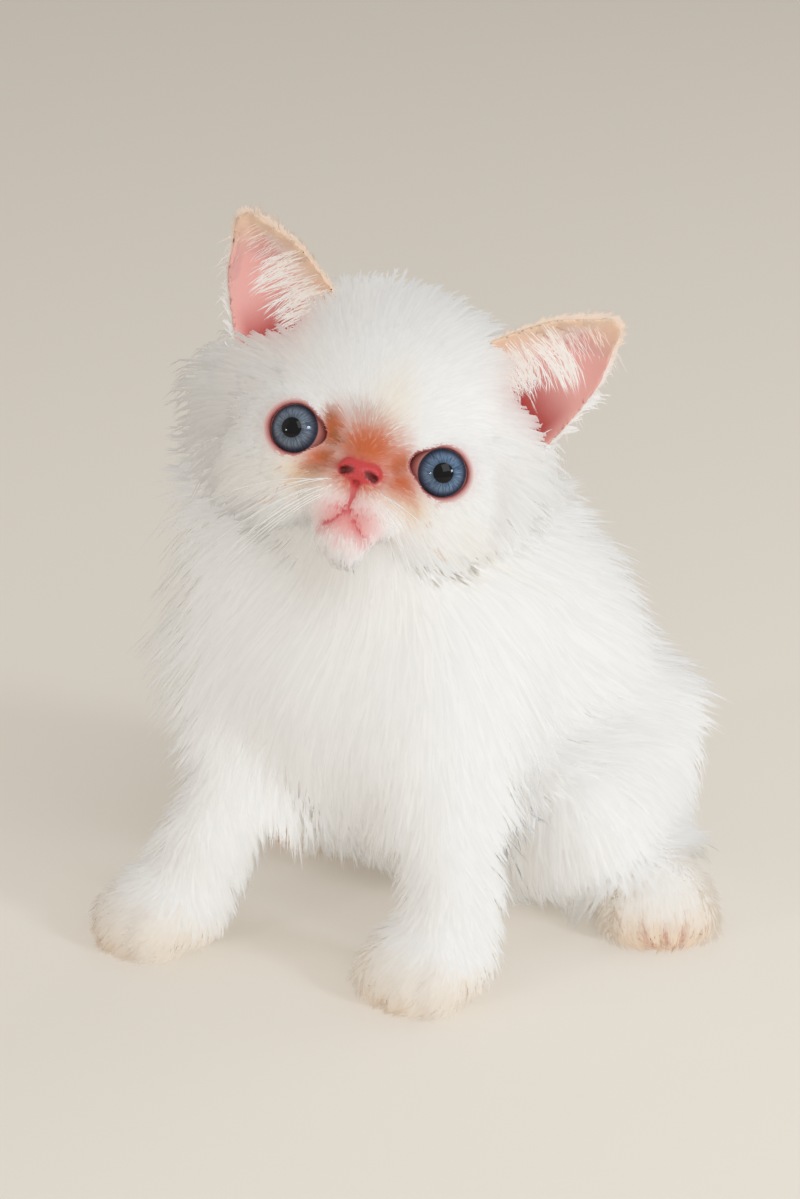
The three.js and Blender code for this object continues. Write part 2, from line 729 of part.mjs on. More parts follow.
// The lie of the coat: away from the nose on the head, then down and back over the body
const toHead = headPose.clone().invert();
const noseAt = onHead(NOSE);
const lies = {
  head: (p) => p.clone().sub(noseAt).normalize().addScaledVector(DOWN, 0.35),
  neck: (p) => p.clone().sub(SKULL).normalize().multiplyScalar(0.6).addScaledVector(DOWN, 0.8),
  torso: (p) => V(p.x * 0.006, lerp(-0.25, 0.8, smoothstep(p.y, 15, 70)), -0.85),
  thigh: (p) => V(Math.sign(p.x) * 0.15, 0.35, -1),
  foreleg: () => V(0, 0.3, -1),
  tail: (p) => {
    const near = TAIL.slice(1).map((end, k) => ({ start: TAIL[k].at, end: end.at }));
    const gap = ({ start, end }) => p.distanceTo(start.clone().lerp(end, 0.5));
    const { start, end } = near.sort((a, b) => gap(a) - gap(b))[0];
    return end.clone().sub(start).normalize();
  },
};

// Roots are kept clear of the other parts, of the face and of the ears.
const clearOf = (p, fields, room) => fields.every((field) => field(p) > room);
const legFields = SIDES.flatMap((s) => [thighField(s), forelegField(s)]);
const onCrown = (q) => q.y > -6 && q.z > 14;
const onCheek = (q) => q.y > -15 && q.z <= 14 && q.z > -24 && Math.abs(q.x) > 18;
const clearOfEars = (q) =>
  Math.hypot(Math.abs(q.x) - EAR.root.x - 5, q.y - EAR.root.y - 2, q.z - EAR.root.z - 8) > 15;
const inMane = (p) => p.z > 92 && p.y < 70;
const COATS = [
  {
    part: "head",
    field: headField,
    centre: SKULL,
    form: { ...LOCKS.crown, lie: lies.head },
    keep: (p) => {
      const q = p.clone().applyMatrix4(toHead);
      return onCrown(q) && clearOfEars(q) && clearOf(p, [neckField, torsoField], 1);
    },
  },
  {
    part: "head",
    field: headField,
    centre: SKULL,
    form: { ...LOCKS.cheek, lie: lies.head },
    keep: (p) => {
      const q = p.clone().applyMatrix4(toHead);
      return onCheek(q) && clearOfEars(q) && clearOf(p, [neckField, torsoField], 1);
    },
  },
  {
    part: "neck",
    field: neckField,
    centre: NECK_CENTRE,
    form: { ...LOCKS.collar, lie: lies.neck },
    keep: (p) => clearOf(p, [headField, torsoField], 0),
  },
  {
    part: "torso",
    field: torsoField,
    centre: TORSO_CENTRE,
    form: { ...LOCKS.mane, lie: lies.neck },
    keep: (p) => inMane(p) && clearOf(p, [neckField, headField], 1),
  },
  {
    part: "torso",
    field: torsoField,
    centre: TORSO_CENTRE,
    form: { ...LOCKS.torso, lie: lies.torso },
    keep: (p) => !inMane(p) && clearOf(p, [neckField, ...legFields], 1) && p.z > 24,
  },
  ...SIDES.flatMap((s) => [
    {
      part: `thigh_${s.name}`,
      field: thighField(s),
      centre: thighCentre(s),
      form: { ...LOCKS.thigh, lie: lies.thigh },
      keep: (p) => clearOf(p, [torsoField], 1) && p.z > 14,
    },
    {
      part: `foreleg_${s.name}`,
      field: forelegField(s),
      centre: s.elbow.at,
      form: { ...LOCKS.foreleg, lie: lies.foreleg },
      keep: (p) => clearOf(p, [torsoField], 1) && p.z > 20,
    },
  ]),
  {
    part: "tail",
    field: tailField,
    centre: TAIL[2].at,
    form: { ...LOCKS.tail, lie: lies.tail },
    keep: (p) => clearOf(p, [torsoField, thighField(SIDES[1])], 1) && p.z > 5,
  },
];
const coats = COATS.map(({ part, field, centre, form, keep }, k) => ({
  part,
  roots: spread(field, centre, form.density).filter(keep),
  form,
  seed: 17 + k,
}));
// All the locks of one part, each with the same chance draws whatever its growth
function locksOf(name, grow) {
  const made = coats
    .filter((coat) => coat.part === name)
    .flatMap(({ roots, form, seed }) => {
      const chance = seeded(seed);
      return roots.map((root) => lock(root, form, chance, grow));
    });
  return made.length ? join(made) : null;
}

// Finishes

const finish = (color, roughness) =>
  new THREE.MeshStandardMaterial({ color, roughness, metalness: 0 });
const COAT_FINISH = finish(0xe9e2d6, 0.9);
const EAR_FINISH = finish(0xe2c4b2, 0.85);
const EYE_FINISH = finish(0x6f8fae, 0.15);

// Assembly: a later part gives way to every earlier one

const kitten = new THREE.Group();
const headGroup = new THREE.Group();
headGroup.applyMatrix4(headPose);
kitten.add(headGroup);

const at = (place, turn = 0) => new THREE.Matrix4().makeRotationZ(rad(turn)).setPosition(place);
const onHeadAt = (place) => headPose.clone().multiply(at(place));

const sided = (sign) => (sign > 0 ? "left" : "right");
const PARTS = [
  ...mirrored((s) => ({
    name: `eye_${sided(s)}`,
    core: (grow) => eyeball(s, grow),
    pose: onHeadAt(eyeCentre(s)),
    parent: headGroup,
    finish: EYE_FINISH,
  })),
  {
    name: "head",
    core: headCore,
    whole: headSolid,
    pose: headPose,
    parent: headGroup,
    finish: COAT_FINISH,
  },
  ...mirrored((s) => ({
    name: `ear_${sided(s)}`,
    core: (grow) => ear(s, grow),
    pose: onHeadAt(aside(EAR.root, s)),
    parent: headGroup,
    finish: EAR_FINISH,
  })),
  { name: "torso", core: torsoCore, pose: at(TORSO_CENTRE), finish: COAT_FINISH },
  { name: "neck", core: neckCore, pose: at(NECK_CENTRE), finish: COAT_FINISH },
  ...SIDES.flatMap((s) => [
    {
      name: `thigh_${s.name}`,
      core: (grow) => thighCore(s, grow),
      pose: at(s.hip.at),
      finish: COAT_FINISH,
    },
    {
      name: `hindfoot_${s.name}`,
      core: (grow) => hindfootCore(s, grow),
      pose: at(s.hindpaw, s.hindpawTurn),
      finish: COAT_FINISH,
    },
    {
      name: `foreleg_${s.name}`,
      core: (grow) => forelegCore(s, grow),
      pose: at(s.elbow.at),
      finish: COAT_FINISH,
    },
    {
      name: `forepaw_${s.name}`,
      core: (grow) => pawCore(s.forepaw, s.forepawTurn, 1, grow),
      pose: at(s.forepaw, s.forepawTurn),
      finish: COAT_FINISH,
    },
  ]),
  { name: "tail", core: tailCore, pose: at(TAIL[0].at), finish: COAT_FINISH },
];

const floorBlock = new THREE.BoxGeometry(FLOOR_SIDE, FLOOR_SIDE, FLOOR_DEPTH);
floorBlock.translate(0, 0, -FLOOR_DEPTH / 2);
const floor = solid(floorBlock);

// A part's core gives way to the cores before it. Its locks give way to every other core, and to
// the locks of the parts that lie above it in the coat.
const ABOVE = ["head", "neck", "torso", "thigh_left", "thigh_right", "foreleg_left", "foreleg_right"];
const cutters = PARTS.map((part) => part.core(GAP));
const coatCutters = ABOVE.map((name) => locksOf(name, GAP));
PARTS.forEach((part, rank) => {
  const whole = part.whole ? part.whole() : part.core(0);
  const core = largest(carve(whole, [floor, ...cutters.slice(0, rank)]));
  const locks = locksOf(part.name, 0);
  const over = ABOVE.includes(part.name) ? ABOVE.indexOf(part.name) : ABOVE.length;
  const others = cutters.filter((_, k) => k !== rank);
  const body = locks
    ? largest(core.add(carve(locks, [floor, ...others, ...coatCutters.slice(0, over)])))
    : core;
  const { parent = kitten } = part;
  parent.updateMatrixWorld(true);
  const mesh = new THREE.Mesh(
    geometryOf(body).applyMatrix4(part.pose.clone().invert()),
    part.finish,
  );
  mesh.name = part.name;
  mesh.applyMatrix4(parent.matrixWorld.clone().invert().multiply(part.pose));
  parent.add(mesh);
});

// The origin is the middle of the underside of the box round the whole kitten.
const extent = new THREE.Box3().setFromObject(kitten, true);
const middle = extent.getCenter(V(0, 0, 0));
kitten.position.set(-middle.x, -middle.y, -extent.min.z);

export default kitten;
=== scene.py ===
# %% [markdown]
# # A sitting longhaired kitten
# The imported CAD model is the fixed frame. It gives the kitten's true size and place, part by part.
# This script dresses it: one soft skin without seams, wet eyes, and a long white coat.

# %% The frame
import math
import time

import bpy
import numpy as np
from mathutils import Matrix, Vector, kdtree


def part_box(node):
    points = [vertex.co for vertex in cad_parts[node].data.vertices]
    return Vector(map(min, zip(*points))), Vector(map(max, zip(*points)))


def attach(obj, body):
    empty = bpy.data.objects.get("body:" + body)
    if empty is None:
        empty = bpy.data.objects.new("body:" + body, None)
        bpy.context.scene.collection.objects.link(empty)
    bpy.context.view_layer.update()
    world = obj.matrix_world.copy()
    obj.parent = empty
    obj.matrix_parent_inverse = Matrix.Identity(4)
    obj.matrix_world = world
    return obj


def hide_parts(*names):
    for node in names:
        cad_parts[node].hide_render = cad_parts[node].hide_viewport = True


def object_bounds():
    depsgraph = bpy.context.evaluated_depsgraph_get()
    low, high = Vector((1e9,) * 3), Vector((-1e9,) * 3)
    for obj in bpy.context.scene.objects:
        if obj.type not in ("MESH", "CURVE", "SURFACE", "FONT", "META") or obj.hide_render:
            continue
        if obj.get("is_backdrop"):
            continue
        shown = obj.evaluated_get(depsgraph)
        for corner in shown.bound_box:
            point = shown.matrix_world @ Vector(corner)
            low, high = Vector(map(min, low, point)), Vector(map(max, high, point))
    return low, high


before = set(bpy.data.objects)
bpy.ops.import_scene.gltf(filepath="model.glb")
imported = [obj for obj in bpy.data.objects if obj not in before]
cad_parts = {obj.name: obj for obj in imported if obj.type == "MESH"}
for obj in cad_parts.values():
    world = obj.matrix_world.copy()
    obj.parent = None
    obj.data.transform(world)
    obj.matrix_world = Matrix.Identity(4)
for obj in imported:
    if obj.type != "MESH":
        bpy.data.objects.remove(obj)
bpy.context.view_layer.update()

START = time.time()


def note(text):
    print(f"[{time.time() - START:5.1f} s] {text}", flush=True)


note(f"CAD nodes: {len(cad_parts)}")

# %% [markdown]
# ## Sizes
# Anatomy is easier to read in millimetres, so all the sizes below are the ones of the CAD drawing,
# where the kitten faces -Y, its own left is +X and the floor is z = 0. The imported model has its
# origin under the middle of its box, so one shift joins the two.

# %% Sizes in millimetres
MM = 0.001
SHIFT = np.array([-5.76, -64.65, 0.0])

SKULL = np.array([10.0, 24.0, 145.0])
HEAD_YAW, HEAD_PITCH, HEAD_ROLL = 32, 20, 15.5

EYE_SIDE, EYE_BACK, EYE_HEIGHT = 18.7, -14.2, -5.0
EYE_RADIUS = 8.2
EYE_OPENING = 6.25
EYE_OUTWARD = 9
INNER_CORNER = 2.3  # how far the gap between the lids runs on towards the nose
CORNEA_RADIUS, CORNEA_AHEAD = 5.6, 3.6

NOSE = np.array([0.0, -25.6, -10.8])

# Each line of the body is a run of places, and the radius of the flesh at each.
BREAST, WITHERS = ((0, 30, 72), 21), ((0, 46, 93), 23)
LOIN, RUMP = ((4, 76, 67), 29), ((7, 96, 33), 27)
BELLY, GROIN = ((1, 46, 58), 19), ((5, 80, 38), 25)
NAPE, POLL = ((2, 42, 100), 20), ((9, 30, 128), 18)
LEFT = dict(
    shoulder=((19, 38, 94), 12), point=((26, 26, 66), 12), elbow=((34, 20, 45), 8.6),
    forearm=((40.5, 14.5, 28), 7.2), wrist=((40.5, 12, 13), 7.6),
    forepaw=((37.5, 6.5, 8), -4), hip=((32, 99, 38), 18), knee=((43, 70, 31), 13),
    hock=((38, 100, 14), 8), hindpaw=((65, 77, 8), 40),
)
RIGHT = dict(
    shoulder=((-22, 32, 103), 14), point=((-25, 24, 68), 12), elbow=((-26.5, 12, 46), 8.6),
    forearm=((-31, 0, 28), 7.2), wrist=((-35.5, -4, 13), 7.6),
    forepaw=((-40, -9, 8), -26), hip=((-20, 99, 38), 18), knee=((-33, 70, 31), 13),
    hock=((-34, 100, 14), 8), hindpaw=((-48, 77, 8), -30),
)
TAIL = [((5, 116, 22), 8), ((-6, 134, 11.5), 6.5), ((-28, 141, 9.8), 5.5),
        ((-52, 128, 9.3), 5), ((-62, 106, 7.8), 3.5)]


def turned(axis, degrees):
    """The matrix of a turn about one axis."""
    c, s = math.cos(math.radians(degrees)), math.sin(math.radians(degrees))
    i, j = [(1, 2), (2, 0), (0, 1)][axis]
    m = np.eye(3)
    m[i, i] = m[j, j] = c
    m[i, j], m[j, i] = -s, s
    return m


HEAD = turned(2, HEAD_YAW) @ turned(0, -HEAD_PITCH) @ turned(1, HEAD_ROLL)


def to_head(points):
    return (points - SKULL) @ HEAD


def from_head(points):
    return points @ HEAD.T + SKULL


def gaze(side):
    turn = math.radians(EYE_OUTWARD)
    return np.array([math.sin(turn) * side, -math.cos(turn), 0.0])


def eye_centre(side):
    return np.array([EYE_SIDE * side, EYE_BACK, EYE_HEIGHT])


for side, node in ((1, "eye_left"), (-1, "eye_right")):
    lowest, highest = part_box(node)
    middle = (np.array(lowest) + np.array(highest)) / 2 / MM
    planned = from_head(eye_centre(side) + gaze(side) * 0.5) + SHIFT
    note(f"{node} is {np.abs(middle - planned).max():.2f} mm from its planned place")

# %% [markdown]
# ## The camera, the floor and the light
# The photograph looks down on the kitten by 20 degrees from its left front, through a long lens.
# The camera comes first, because every later choice of detail depends on what it sees. The floor
# is one wide pale sheet. A large soft lamp stands in for the window, high on the picture's right.

# %% Camera
AZIMUTH, ELEVATION, DISTANCE = 36, 20, 900
AIM = np.array([34.0, 0.0, 112.0])
LENS = 106.8
way = np.array([
    math.sin(math.radians(AZIMUTH)) * math.cos(math.radians(ELEVATION)),
    -math.cos(math.radians(AZIMUTH)) * math.cos(math.radians(ELEVATION)),
    math.sin(math.radians(ELEVATION)),
])
lens = bpy.data.cameras.new("camera")
lens.sensor_width = 36
lens.lens = LENS
lens.clip_start, lens.clip_end = 0.05, 50
camera = bpy.data.objects.new("camera", lens)
camera.location = Vector((AIM + way * DISTANCE + SHIFT) * MM)
camera.rotation_euler = Vector(-way).to_track_quat("-Z", "Y").to_euler()
bpy.context.scene.collection.objects.link(camera)
bpy.context.scene.camera = camera


# %% Shader maths
class Wire:
    """A value or colour on its way through a material, which adds up like a number."""

    def __init__(self, finish, socket):
        self.finish, self.socket = finish, socket

    def _maths(self, operation, *values):
        return self.finish.node("ShaderNodeMath", {"operation": operation}, *values)

    def __add__(self, other):
        return self._maths("ADD", self, other)

    def __sub__(self, other):
        return self._maths("SUBTRACT", self, other)

    def __mul__(self, other):
        return self._maths("MULTIPLY", self, other)

    def __pow__(self, other):
        return self._maths("POWER", self, other)

    def __rsub__(self, other):
        return self._maths("SUBTRACT", other, self)

    __radd__, __rmul__ = __add__, __mul__

    def step(self, low, high):
        """0 below low, 1 above high, and smooth in between."""
        return self.finish.node(
            "ShaderNodeMapRange", {"interpolation_type": "SMOOTHSTEP"}, self, low, high, 0.0, 1.0
        )


class Finish:
    """A material of nodes."""

    def __init__(self, name):
        self.material = bpy.data.materials.new(name)
        self.material.use_nodes = True
        self.tree = self.material.node_tree
        self.shader = self.tree.nodes["Principled BSDF"]

    def node(self, kind, settings=None, *values, output=0, **named):
        made = self.tree.nodes.new(kind)
        for key, value in (settings or {}).items():
            setattr(made, key, value)
        for key, value in [*enumerate(values), *named.items()]:
            self.feed(made.inputs[key], value)
        return Wire(self, made.outputs[output])

    def feed(self, socket, value):
        if isinstance(value, Wire):
            self.tree.links.new(value.socket, socket)
        elif hasattr(value, "__len__") and socket.type == "RGBA" and len(value) == 3:
            socket.default_value = (*value, 1)
        else:
            socket.default_value = value

    def mix(self, factor, low, high):
        made = self.tree.nodes.new("ShaderNodeMix")
        made.data_type = "RGBA"
        for name, value in (("Factor_Float", factor), ("A_Color", low), ("B_Color", high)):
            self.feed(next(s for s in made.inputs if s.identifier == name), value)
        return Wire(self, next(s for s in made.outputs if s.identifier == "Result_Color"))

    def attribute(self, name):
        return self.node("ShaderNodeAttribute", {"attribute_name": name}, output=2)

    def place(self):
        return self.node("ShaderNodeTexCoord", output=3)

    def noise(self, scale, detail=3.0, vector=None):
        return self.node(
            "ShaderNodeTexNoise", None, Vector=vector or self.place(), Scale=scale, Detail=detail
        )

    def set(self, **values):
        for name, value in values.items():
            self.feed(self.shader.inputs[name.replace("_", " ")], value)

    def bump(self, height, strength, distance):
        self.set(Normal=self.node(
            "ShaderNodeBump", None, Strength=strength, Distance=distance, Height=height
        ))


# %% Floor and light
FLOOR_COLOUR = (0.87, 0.815, 0.735)
floor_finish = Finish("floor")
floor_finish.set(Base_Color=FLOOR_COLOUR, Roughness=0.95, Specular_IOR_Level=0.1)


def mesh_object(name, points, faces, finish):
    """A mesh object at the origin, from points in metres."""
    data = bpy.data.meshes.new(name)
    points = np.asarray(points, np.float32)
    faces = np.asarray(faces, np.int32)
    size = faces.shape[1]
    data.vertices.add(len(points))
    data.vertices.foreach_set("co", points.ravel())
    data.loops.add(faces.size)
    data.loops.foreach_set("vertex_index", faces.ravel())
    data.polygons.add(len(faces))
    data.polygons.foreach_set("loop_start", np.arange(0, faces.size, size, dtype=np.int32))
    data.update(calc_edges=True)
    data.polygons.foreach_set("use_smooth", np.ones(len(faces), bool))
    data.materials.append(finish.material)
    made = bpy.data.objects.new(name, data)
    bpy.context.scene.collection.objects.link(made)
    return made


HALF_FLOOR = 6.0
floor = mesh_object(
    "floor",
    [(x, y, 0) for x, y in ((-1, -1), (1, -1), (1, 1), (-1, 1))] * np.array([HALF_FLOOR] * 3),
    [(0, 1, 2, 3)],
    floor_finish,
)
floor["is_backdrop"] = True

world = bpy.data.worlds.new("studio")
world.use_nodes = True
world.node_tree.nodes["Background"].inputs["Color"].default_value = (1.0, 0.965, 0.92, 1)
world.node_tree.nodes["Background"].inputs["Strength"].default_value = 0.52
bpy.context.scene.world = world
bpy.context.scene.view_settings.view_transform = "Standard"

LAMPS = [
    # name, place in metres, size, watts, colour
    ("window", (0.95, -0.45, 1.05), 0.9, 5.4, (0.94, 0.97, 1.0)),
    ("fill", (-1.0, -1.0, 0.8), 1.4, 1.5, (1.0, 0.92, 0.82)),
    ("rim", (0.3, 1.1, 1.0), 0.9, 1.7, (1.0, 1.0, 1.0)),
    ("catch_right", (1.15, 0.05, 0.52), 0.2, 3.6, (0.80, 0.90, 1.0)),
    ("catch_left", (-0.35, -1.15, 0.30), 0.11, 1.3, (1.0, 1.0, 1.0)),
]
LIT_PLACE = Vector((0, 0, 0.1))  # the middle of the kitten
for name, place, size, watts, colour in LAMPS:
    lamp = bpy.data.lights.new(name, "AREA")
    lamp.size, lamp.energy, lamp.color = size, watts, colour
    lamp_object = bpy.data.objects.new(name, lamp)
    lamp_object.location = place
    aim = LIT_PLACE - Vector(place)
    lamp_object.rotation_euler = aim.to_track_quat("-Z", "Y").to_euler()
    bpy.context.scene.collection.objects.link(lamp_object)
note("camera, floor and light")

# %% [markdown]
# ## The body as a field
# A kitten is soft all over, so its body is given as a field: a number at each point that is
# negative inside the flesh and grows like a distance outside. Limbs are rounded cones, the skull
# and cheeks are ellipsoids, and a soft minimum melts them together as skin does. The same field
# later tells every hair where the body is, so the coat can lie over it.


# %% Field helpers
def limb(p, start, end, grow=0.0):
    """The distance to a rounded cone between two stations, each a place and a radius."""
    (a, ra), (b, rb) = start, end
    a, b = np.asarray(a, np.float32), np.asarray(b, np.float32)
    line = b - a
    share = np.clip((p - a) @ line / (line @ line), 0, 1)
    away = p - a - share[..., None] * line
    return np.sqrt((away * away).sum(-1)) - (ra + share * (rb - ra)) - grow


def chain(p, stations, grow=0.0):
    return [limb(p, a, b, grow) for a, b in zip(stations, stations[1:])]


def egg(p, centre, radii):
    """Nearly the distance to an ellipsoid."""
    q = (p - np.asarray(centre, np.float32)) / np.asarray(radii, np.float32)
    near = np.sqrt((q * q).sum(-1))
    q = q / np.asarray(radii, np.float32)
    return near * (near - 1) / np.maximum(np.sqrt((q * q).sum(-1)), 1e-6)


def melt(softness, *fields):
    """The soft minimum of several fields: a union with rounded creases."""
    low = np.minimum.reduce(fields)
    total = sum(np.exp(-(f - low) / softness) for f in fields)
    return low - softness * np.log(total)


def cut(softness, body, tool):
    """A body with a tool's shape taken away and the edge rounded."""
    return -melt(softness, -body, tool)


def smooth(x, low, high):
    """0 below low, 1 above high, and smooth in between."""
    t = np.clip((x - low) / (high - low), 0, 1)
    return t * t * (3 - 2 * t)


def unit(v):
    return v / np.maximum(np.sqrt((v * v).sum(-1, keepdims=True)), 1e-9)


# %% [markdown]
# ### The face
# A Persian kitten's face is nearly flat. The nose sits between the eyes, the pads of the muzzle
# puff out below it, and the cheeks are round. Each of those is one ellipsoid, measured on the
# photograph. The eyes are so large that their sockets swell the front of the skull.


# %% Face
def nose_field(q):
    """The nose leather: a pad, its tip down to the lip, and the wing of each nostril."""
    pad = egg(q, NOSE + [0, 0.5, 0], (3.6, 3.0, 2.5))
    tip = egg(q, NOSE + [0, 0.6, -2.2], (1.5, 2.4, 1.8))
    wings = [egg(q, NOSE + [3.2 * s, 0.6, 0.1], (2.3, 2.6, 2.3)) for s in (1, -1)]
    return melt(0.7, pad, tip, *wings)


def face_field(q):
    """The head without its ears, nose leather and holes."""
    pairs = []
    for s in (1, -1):
        cheek = egg(q, (15 * s, -8, -11), (14, 13, 12))
        socket = egg(q, (17.5 * s, -12, -5), (11.5, 10, 10.5))
        muzzle = egg(q, (4.8 * s, -21.3, -17.6), (6.8, 6, 6.4))
        pairs += [cheek, socket, muzzle]
    skull = egg(q, (0, 4, 3), (30, 28, 27))
    brow = egg(q, (0, -6, 9), (20, 16, 16))
    chin = egg(q, (0, -18.5, -25), (7, 6.5, 5))
    bridge = limb(q, ((0, -17, -3), 5), ((0, -22, -10), 4.2))
    return melt(1.6, skull, brow, chin, bridge, *pairs)


def lid_shape(q, side):
    """How far a point is along the gaze, and how far outside the gap between the lids."""
    e = q - eye_centre(side).astype(np.float32)
    forward = gaze(side).astype(np.float32)
    ahead = e @ forward
    flat = e - ahead[..., None] * forward
    radius = np.sqrt((flat * flat).sum(-1))
    inner = np.array([-side, 0, 0.08], np.float32)
    towards = (flat @ inner) / np.maximum(radius, 1e-6)
    corner = INNER_CORNER * np.clip((towards - 0.76) / 0.24, 0, 1) ** 1.5
    flatter = 0.35 * np.abs(flat[..., 2]) / np.maximum(radius, 1e-6)
    return ahead, radius - (EYE_OPENING + corner - flatter)


def front_of_face(x, z):
    """The place on the face's surface straight ahead of a point (x, z)."""
    near, far = -10.0, -60.0
    for _ in range(30):
        middle = (near + far) / 2
        if face_field(np.array([[x, middle, z]], np.float32))[0] < 0:
            near = middle
        else:
            far = middle
    return (x, near, z)


CLEFT_HEIGHTS = (-13.4, -15.2, -17, -18.8, -20.2)
LIP_PLACES = ((0, -20.2), (1.2, -21.3), (2.6, -23), (4.2, -24.6), (5.8, -25.7))
CLEFT = [front_of_face(0, z) for z in CLEFT_HEIGHTS]
LIPS = [[front_of_face(s * x, z) for x, z in LIP_PLACES] for s in (1, -1)]
MOUTH = [CLEFT, *LIPS]


def mouth_distance(q):
    runs = []
    for line in MOUTH:
        runs += chain(q, [(p, 0.0) for p in line])
    return np.minimum.reduce(runs)


def nostril_field(q):
    fields = []
    for s in (1, -1):
        inner = (2.3 * s, NOSE[1] - 2.9, NOSE[2] - 0.1)
        outer = (4.3 * s, NOSE[1] - 0.7, NOSE[2] - 0.9)
        fields.append(limb(q, (inner, 0.95), (outer, 0.75)))
    return np.minimum(*fields)


# %% [markdown]
# ### The ears
# An ear is a thin cupped sheet that leans outwards. Its outline narrows to a rounded tip, and the
# sheet bends back in the middle. The field measures how far a point is from that sheet.

# %% Ears
EAR_ROOT = np.array([26.0, 3.0, 14.5])
EAR_HEIGHT, EAR_WIDTH, EAR_CUP = 40.0, 17.0, 10.0
EAR_LEAN, EAR_TURN = 38, 14


def to_ear(q, side):
    pose = turned(1, EAR_LEAN * side) @ turned(2, EAR_TURN * side)
    return (q - EAR_ROOT * [side, 1, 1]) @ pose


def from_ear(e, side):
    pose = turned(1, EAR_LEAN * side) @ turned(2, EAR_TURN * side)
    return e @ pose.T + EAR_ROOT * [side, 1, 1]


def ear_sheet(x, z):
    """Across (-1 to 1), up (0 to 1), half the width, and the sheet's place in y."""
    up = np.clip((z + 3) / (EAR_HEIGHT + 3), 0, 0.995)
    half = EAR_WIDTH * np.sqrt(1 - up**1.8) * (1 - 0.2 * up) * (0.86 + 0.14 * smooth(up, 0, 0.25))
    half = half * (1 - 0.35 * smooth(up, 0.65, 1))
    across = x / np.maximum(half, 0.5)
    bow = np.clip(across, -1.3, 1.3)
    back = EAR_CUP * (half / EAR_WIDTH) * (1 - bow**2) * (1 - 0.5 * up) - 2 * up**2
    return across, up, half, back


EAR_THICK = 0.95


def ear_field(q, side):
    e = to_ear(q, side)
    x, z = e[..., 0], e[..., 2]
    across, up, half, back = ear_sheet(x, z)
    slope = (ear_sheet(x + 0.5, z)[3] - ear_sheet(x - 0.5, z)[3]) ** 2
    slope += (ear_sheet(x, z + 0.5)[3] - ear_sheet(x, z - 0.5)[3]) ** 2
    sheet = np.abs(e[..., 1] - back) / np.sqrt(1 + slope) - EAR_THICK
    edge = (np.abs(x) - half) * 0.85
    top = e[..., 2] - EAR_HEIGHT + 0.8
    bottom = -3 - e[..., 2]
    return np.maximum.reduce([sheet, edge, top, bottom])


# %% [markdown]
# ### Neck, trunk, legs and tail
# The rest follows the bones: breast, withers, loin and rump for the trunk, and a chain of
# stations for each leg. Paws are a ball with four toes in front of it.


# %% Body
TOE_GAP = 5.6  # from the middle of one toe to the next


def paw_field(p, paw, size=1.0, grow=1.0):
    """A paw: its ball with four toes in front."""
    centre, turn = paw
    q = (p - np.asarray(centre, np.float32)) @ turned(2, turn).astype(np.float32)
    toes = []
    for k in (-1.5, -0.5, 0.5, 1.5):
        place = np.array([k * TOE_GAP, abs(k) * 2 - 8.6, -2.2])
        toes.append(egg(q, place * size, np.array([3.3, 5.4, 4.8]) * size))
    ball = egg(q, (0, 1, 0), np.array([11, 11, 7.6]) * size)
    return melt(0.7, ball, *toes) - grow


def foreleg_field(p, s):
    return melt(1.5, *chain(p, [s["point"], s["elbow"], s["forearm"], s["wrist"]]))


def thigh_field(p, s):
    return melt(4, limb(p, s["hip"], s["knee"]), limb(p, s["knee"], s["hock"], -2))


def hindfoot_field(p, s):
    hock, paw = np.array(s["hock"][0], float), np.array(s["hindpaw"][0], float)
    middle = (hock + paw) / 2
    middle[2] = 11
    line = [s["hock"], (middle, 7), ((paw[0], paw[1], 10), 7.5)]
    return melt(1.5, *chain(p, line), paw_field(p, s["hindpaw"], 1.02))


def torso_field(p):
    return melt(
        5,
        limb(p, BREAST, WITHERS),
        limb(p, WITHERS, LOIN),
        limb(p, LOIN, RUMP),
        limb(p, BELLY, GROIN),
        *[limb(p, s["shoulder"], s["point"]) for s in (LEFT, RIGHT)],
    )


def regions(p):
    """The field of each part of the body, by name."""
    found = {
        "head": face_field(to_head(p).astype(np.float32)),
        "neck": limb(p, NAPE, POLL),
        "torso": torso_field(p),
        "tail": melt(1, *chain(p, TAIL)),
    }
    for side, s in (("left", LEFT), ("right", RIGHT)):
        found["foreleg_" + side] = foreleg_field(p, s)
        found["forepaw_" + side] = paw_field(p, s["forepaw"])
        found["thigh_" + side] = thigh_field(p, s)
        found["hindfoot_" + side] = hindfoot_field(p, s)
    return found


def flesh(p):
    """The whole body, without the holes and folds of the face."""
    p = np.asarray(p, np.float32)
    return melt(2.5, *regions(p).values())


HEAD_REACH = 75  # nothing of the head is further than this from its middle
MOUTH_GROOVE = 0.6
LID_ROLL, LID_AHEAD = 1.15, 4.6  # the rounded edge of a lid, and how far ahead of the eye it lies
SOCKET_GAP = 0.1  # between the eyeball and its socket
SOLE = 0.3  # the height of the flat that is cut under the paws and the rump


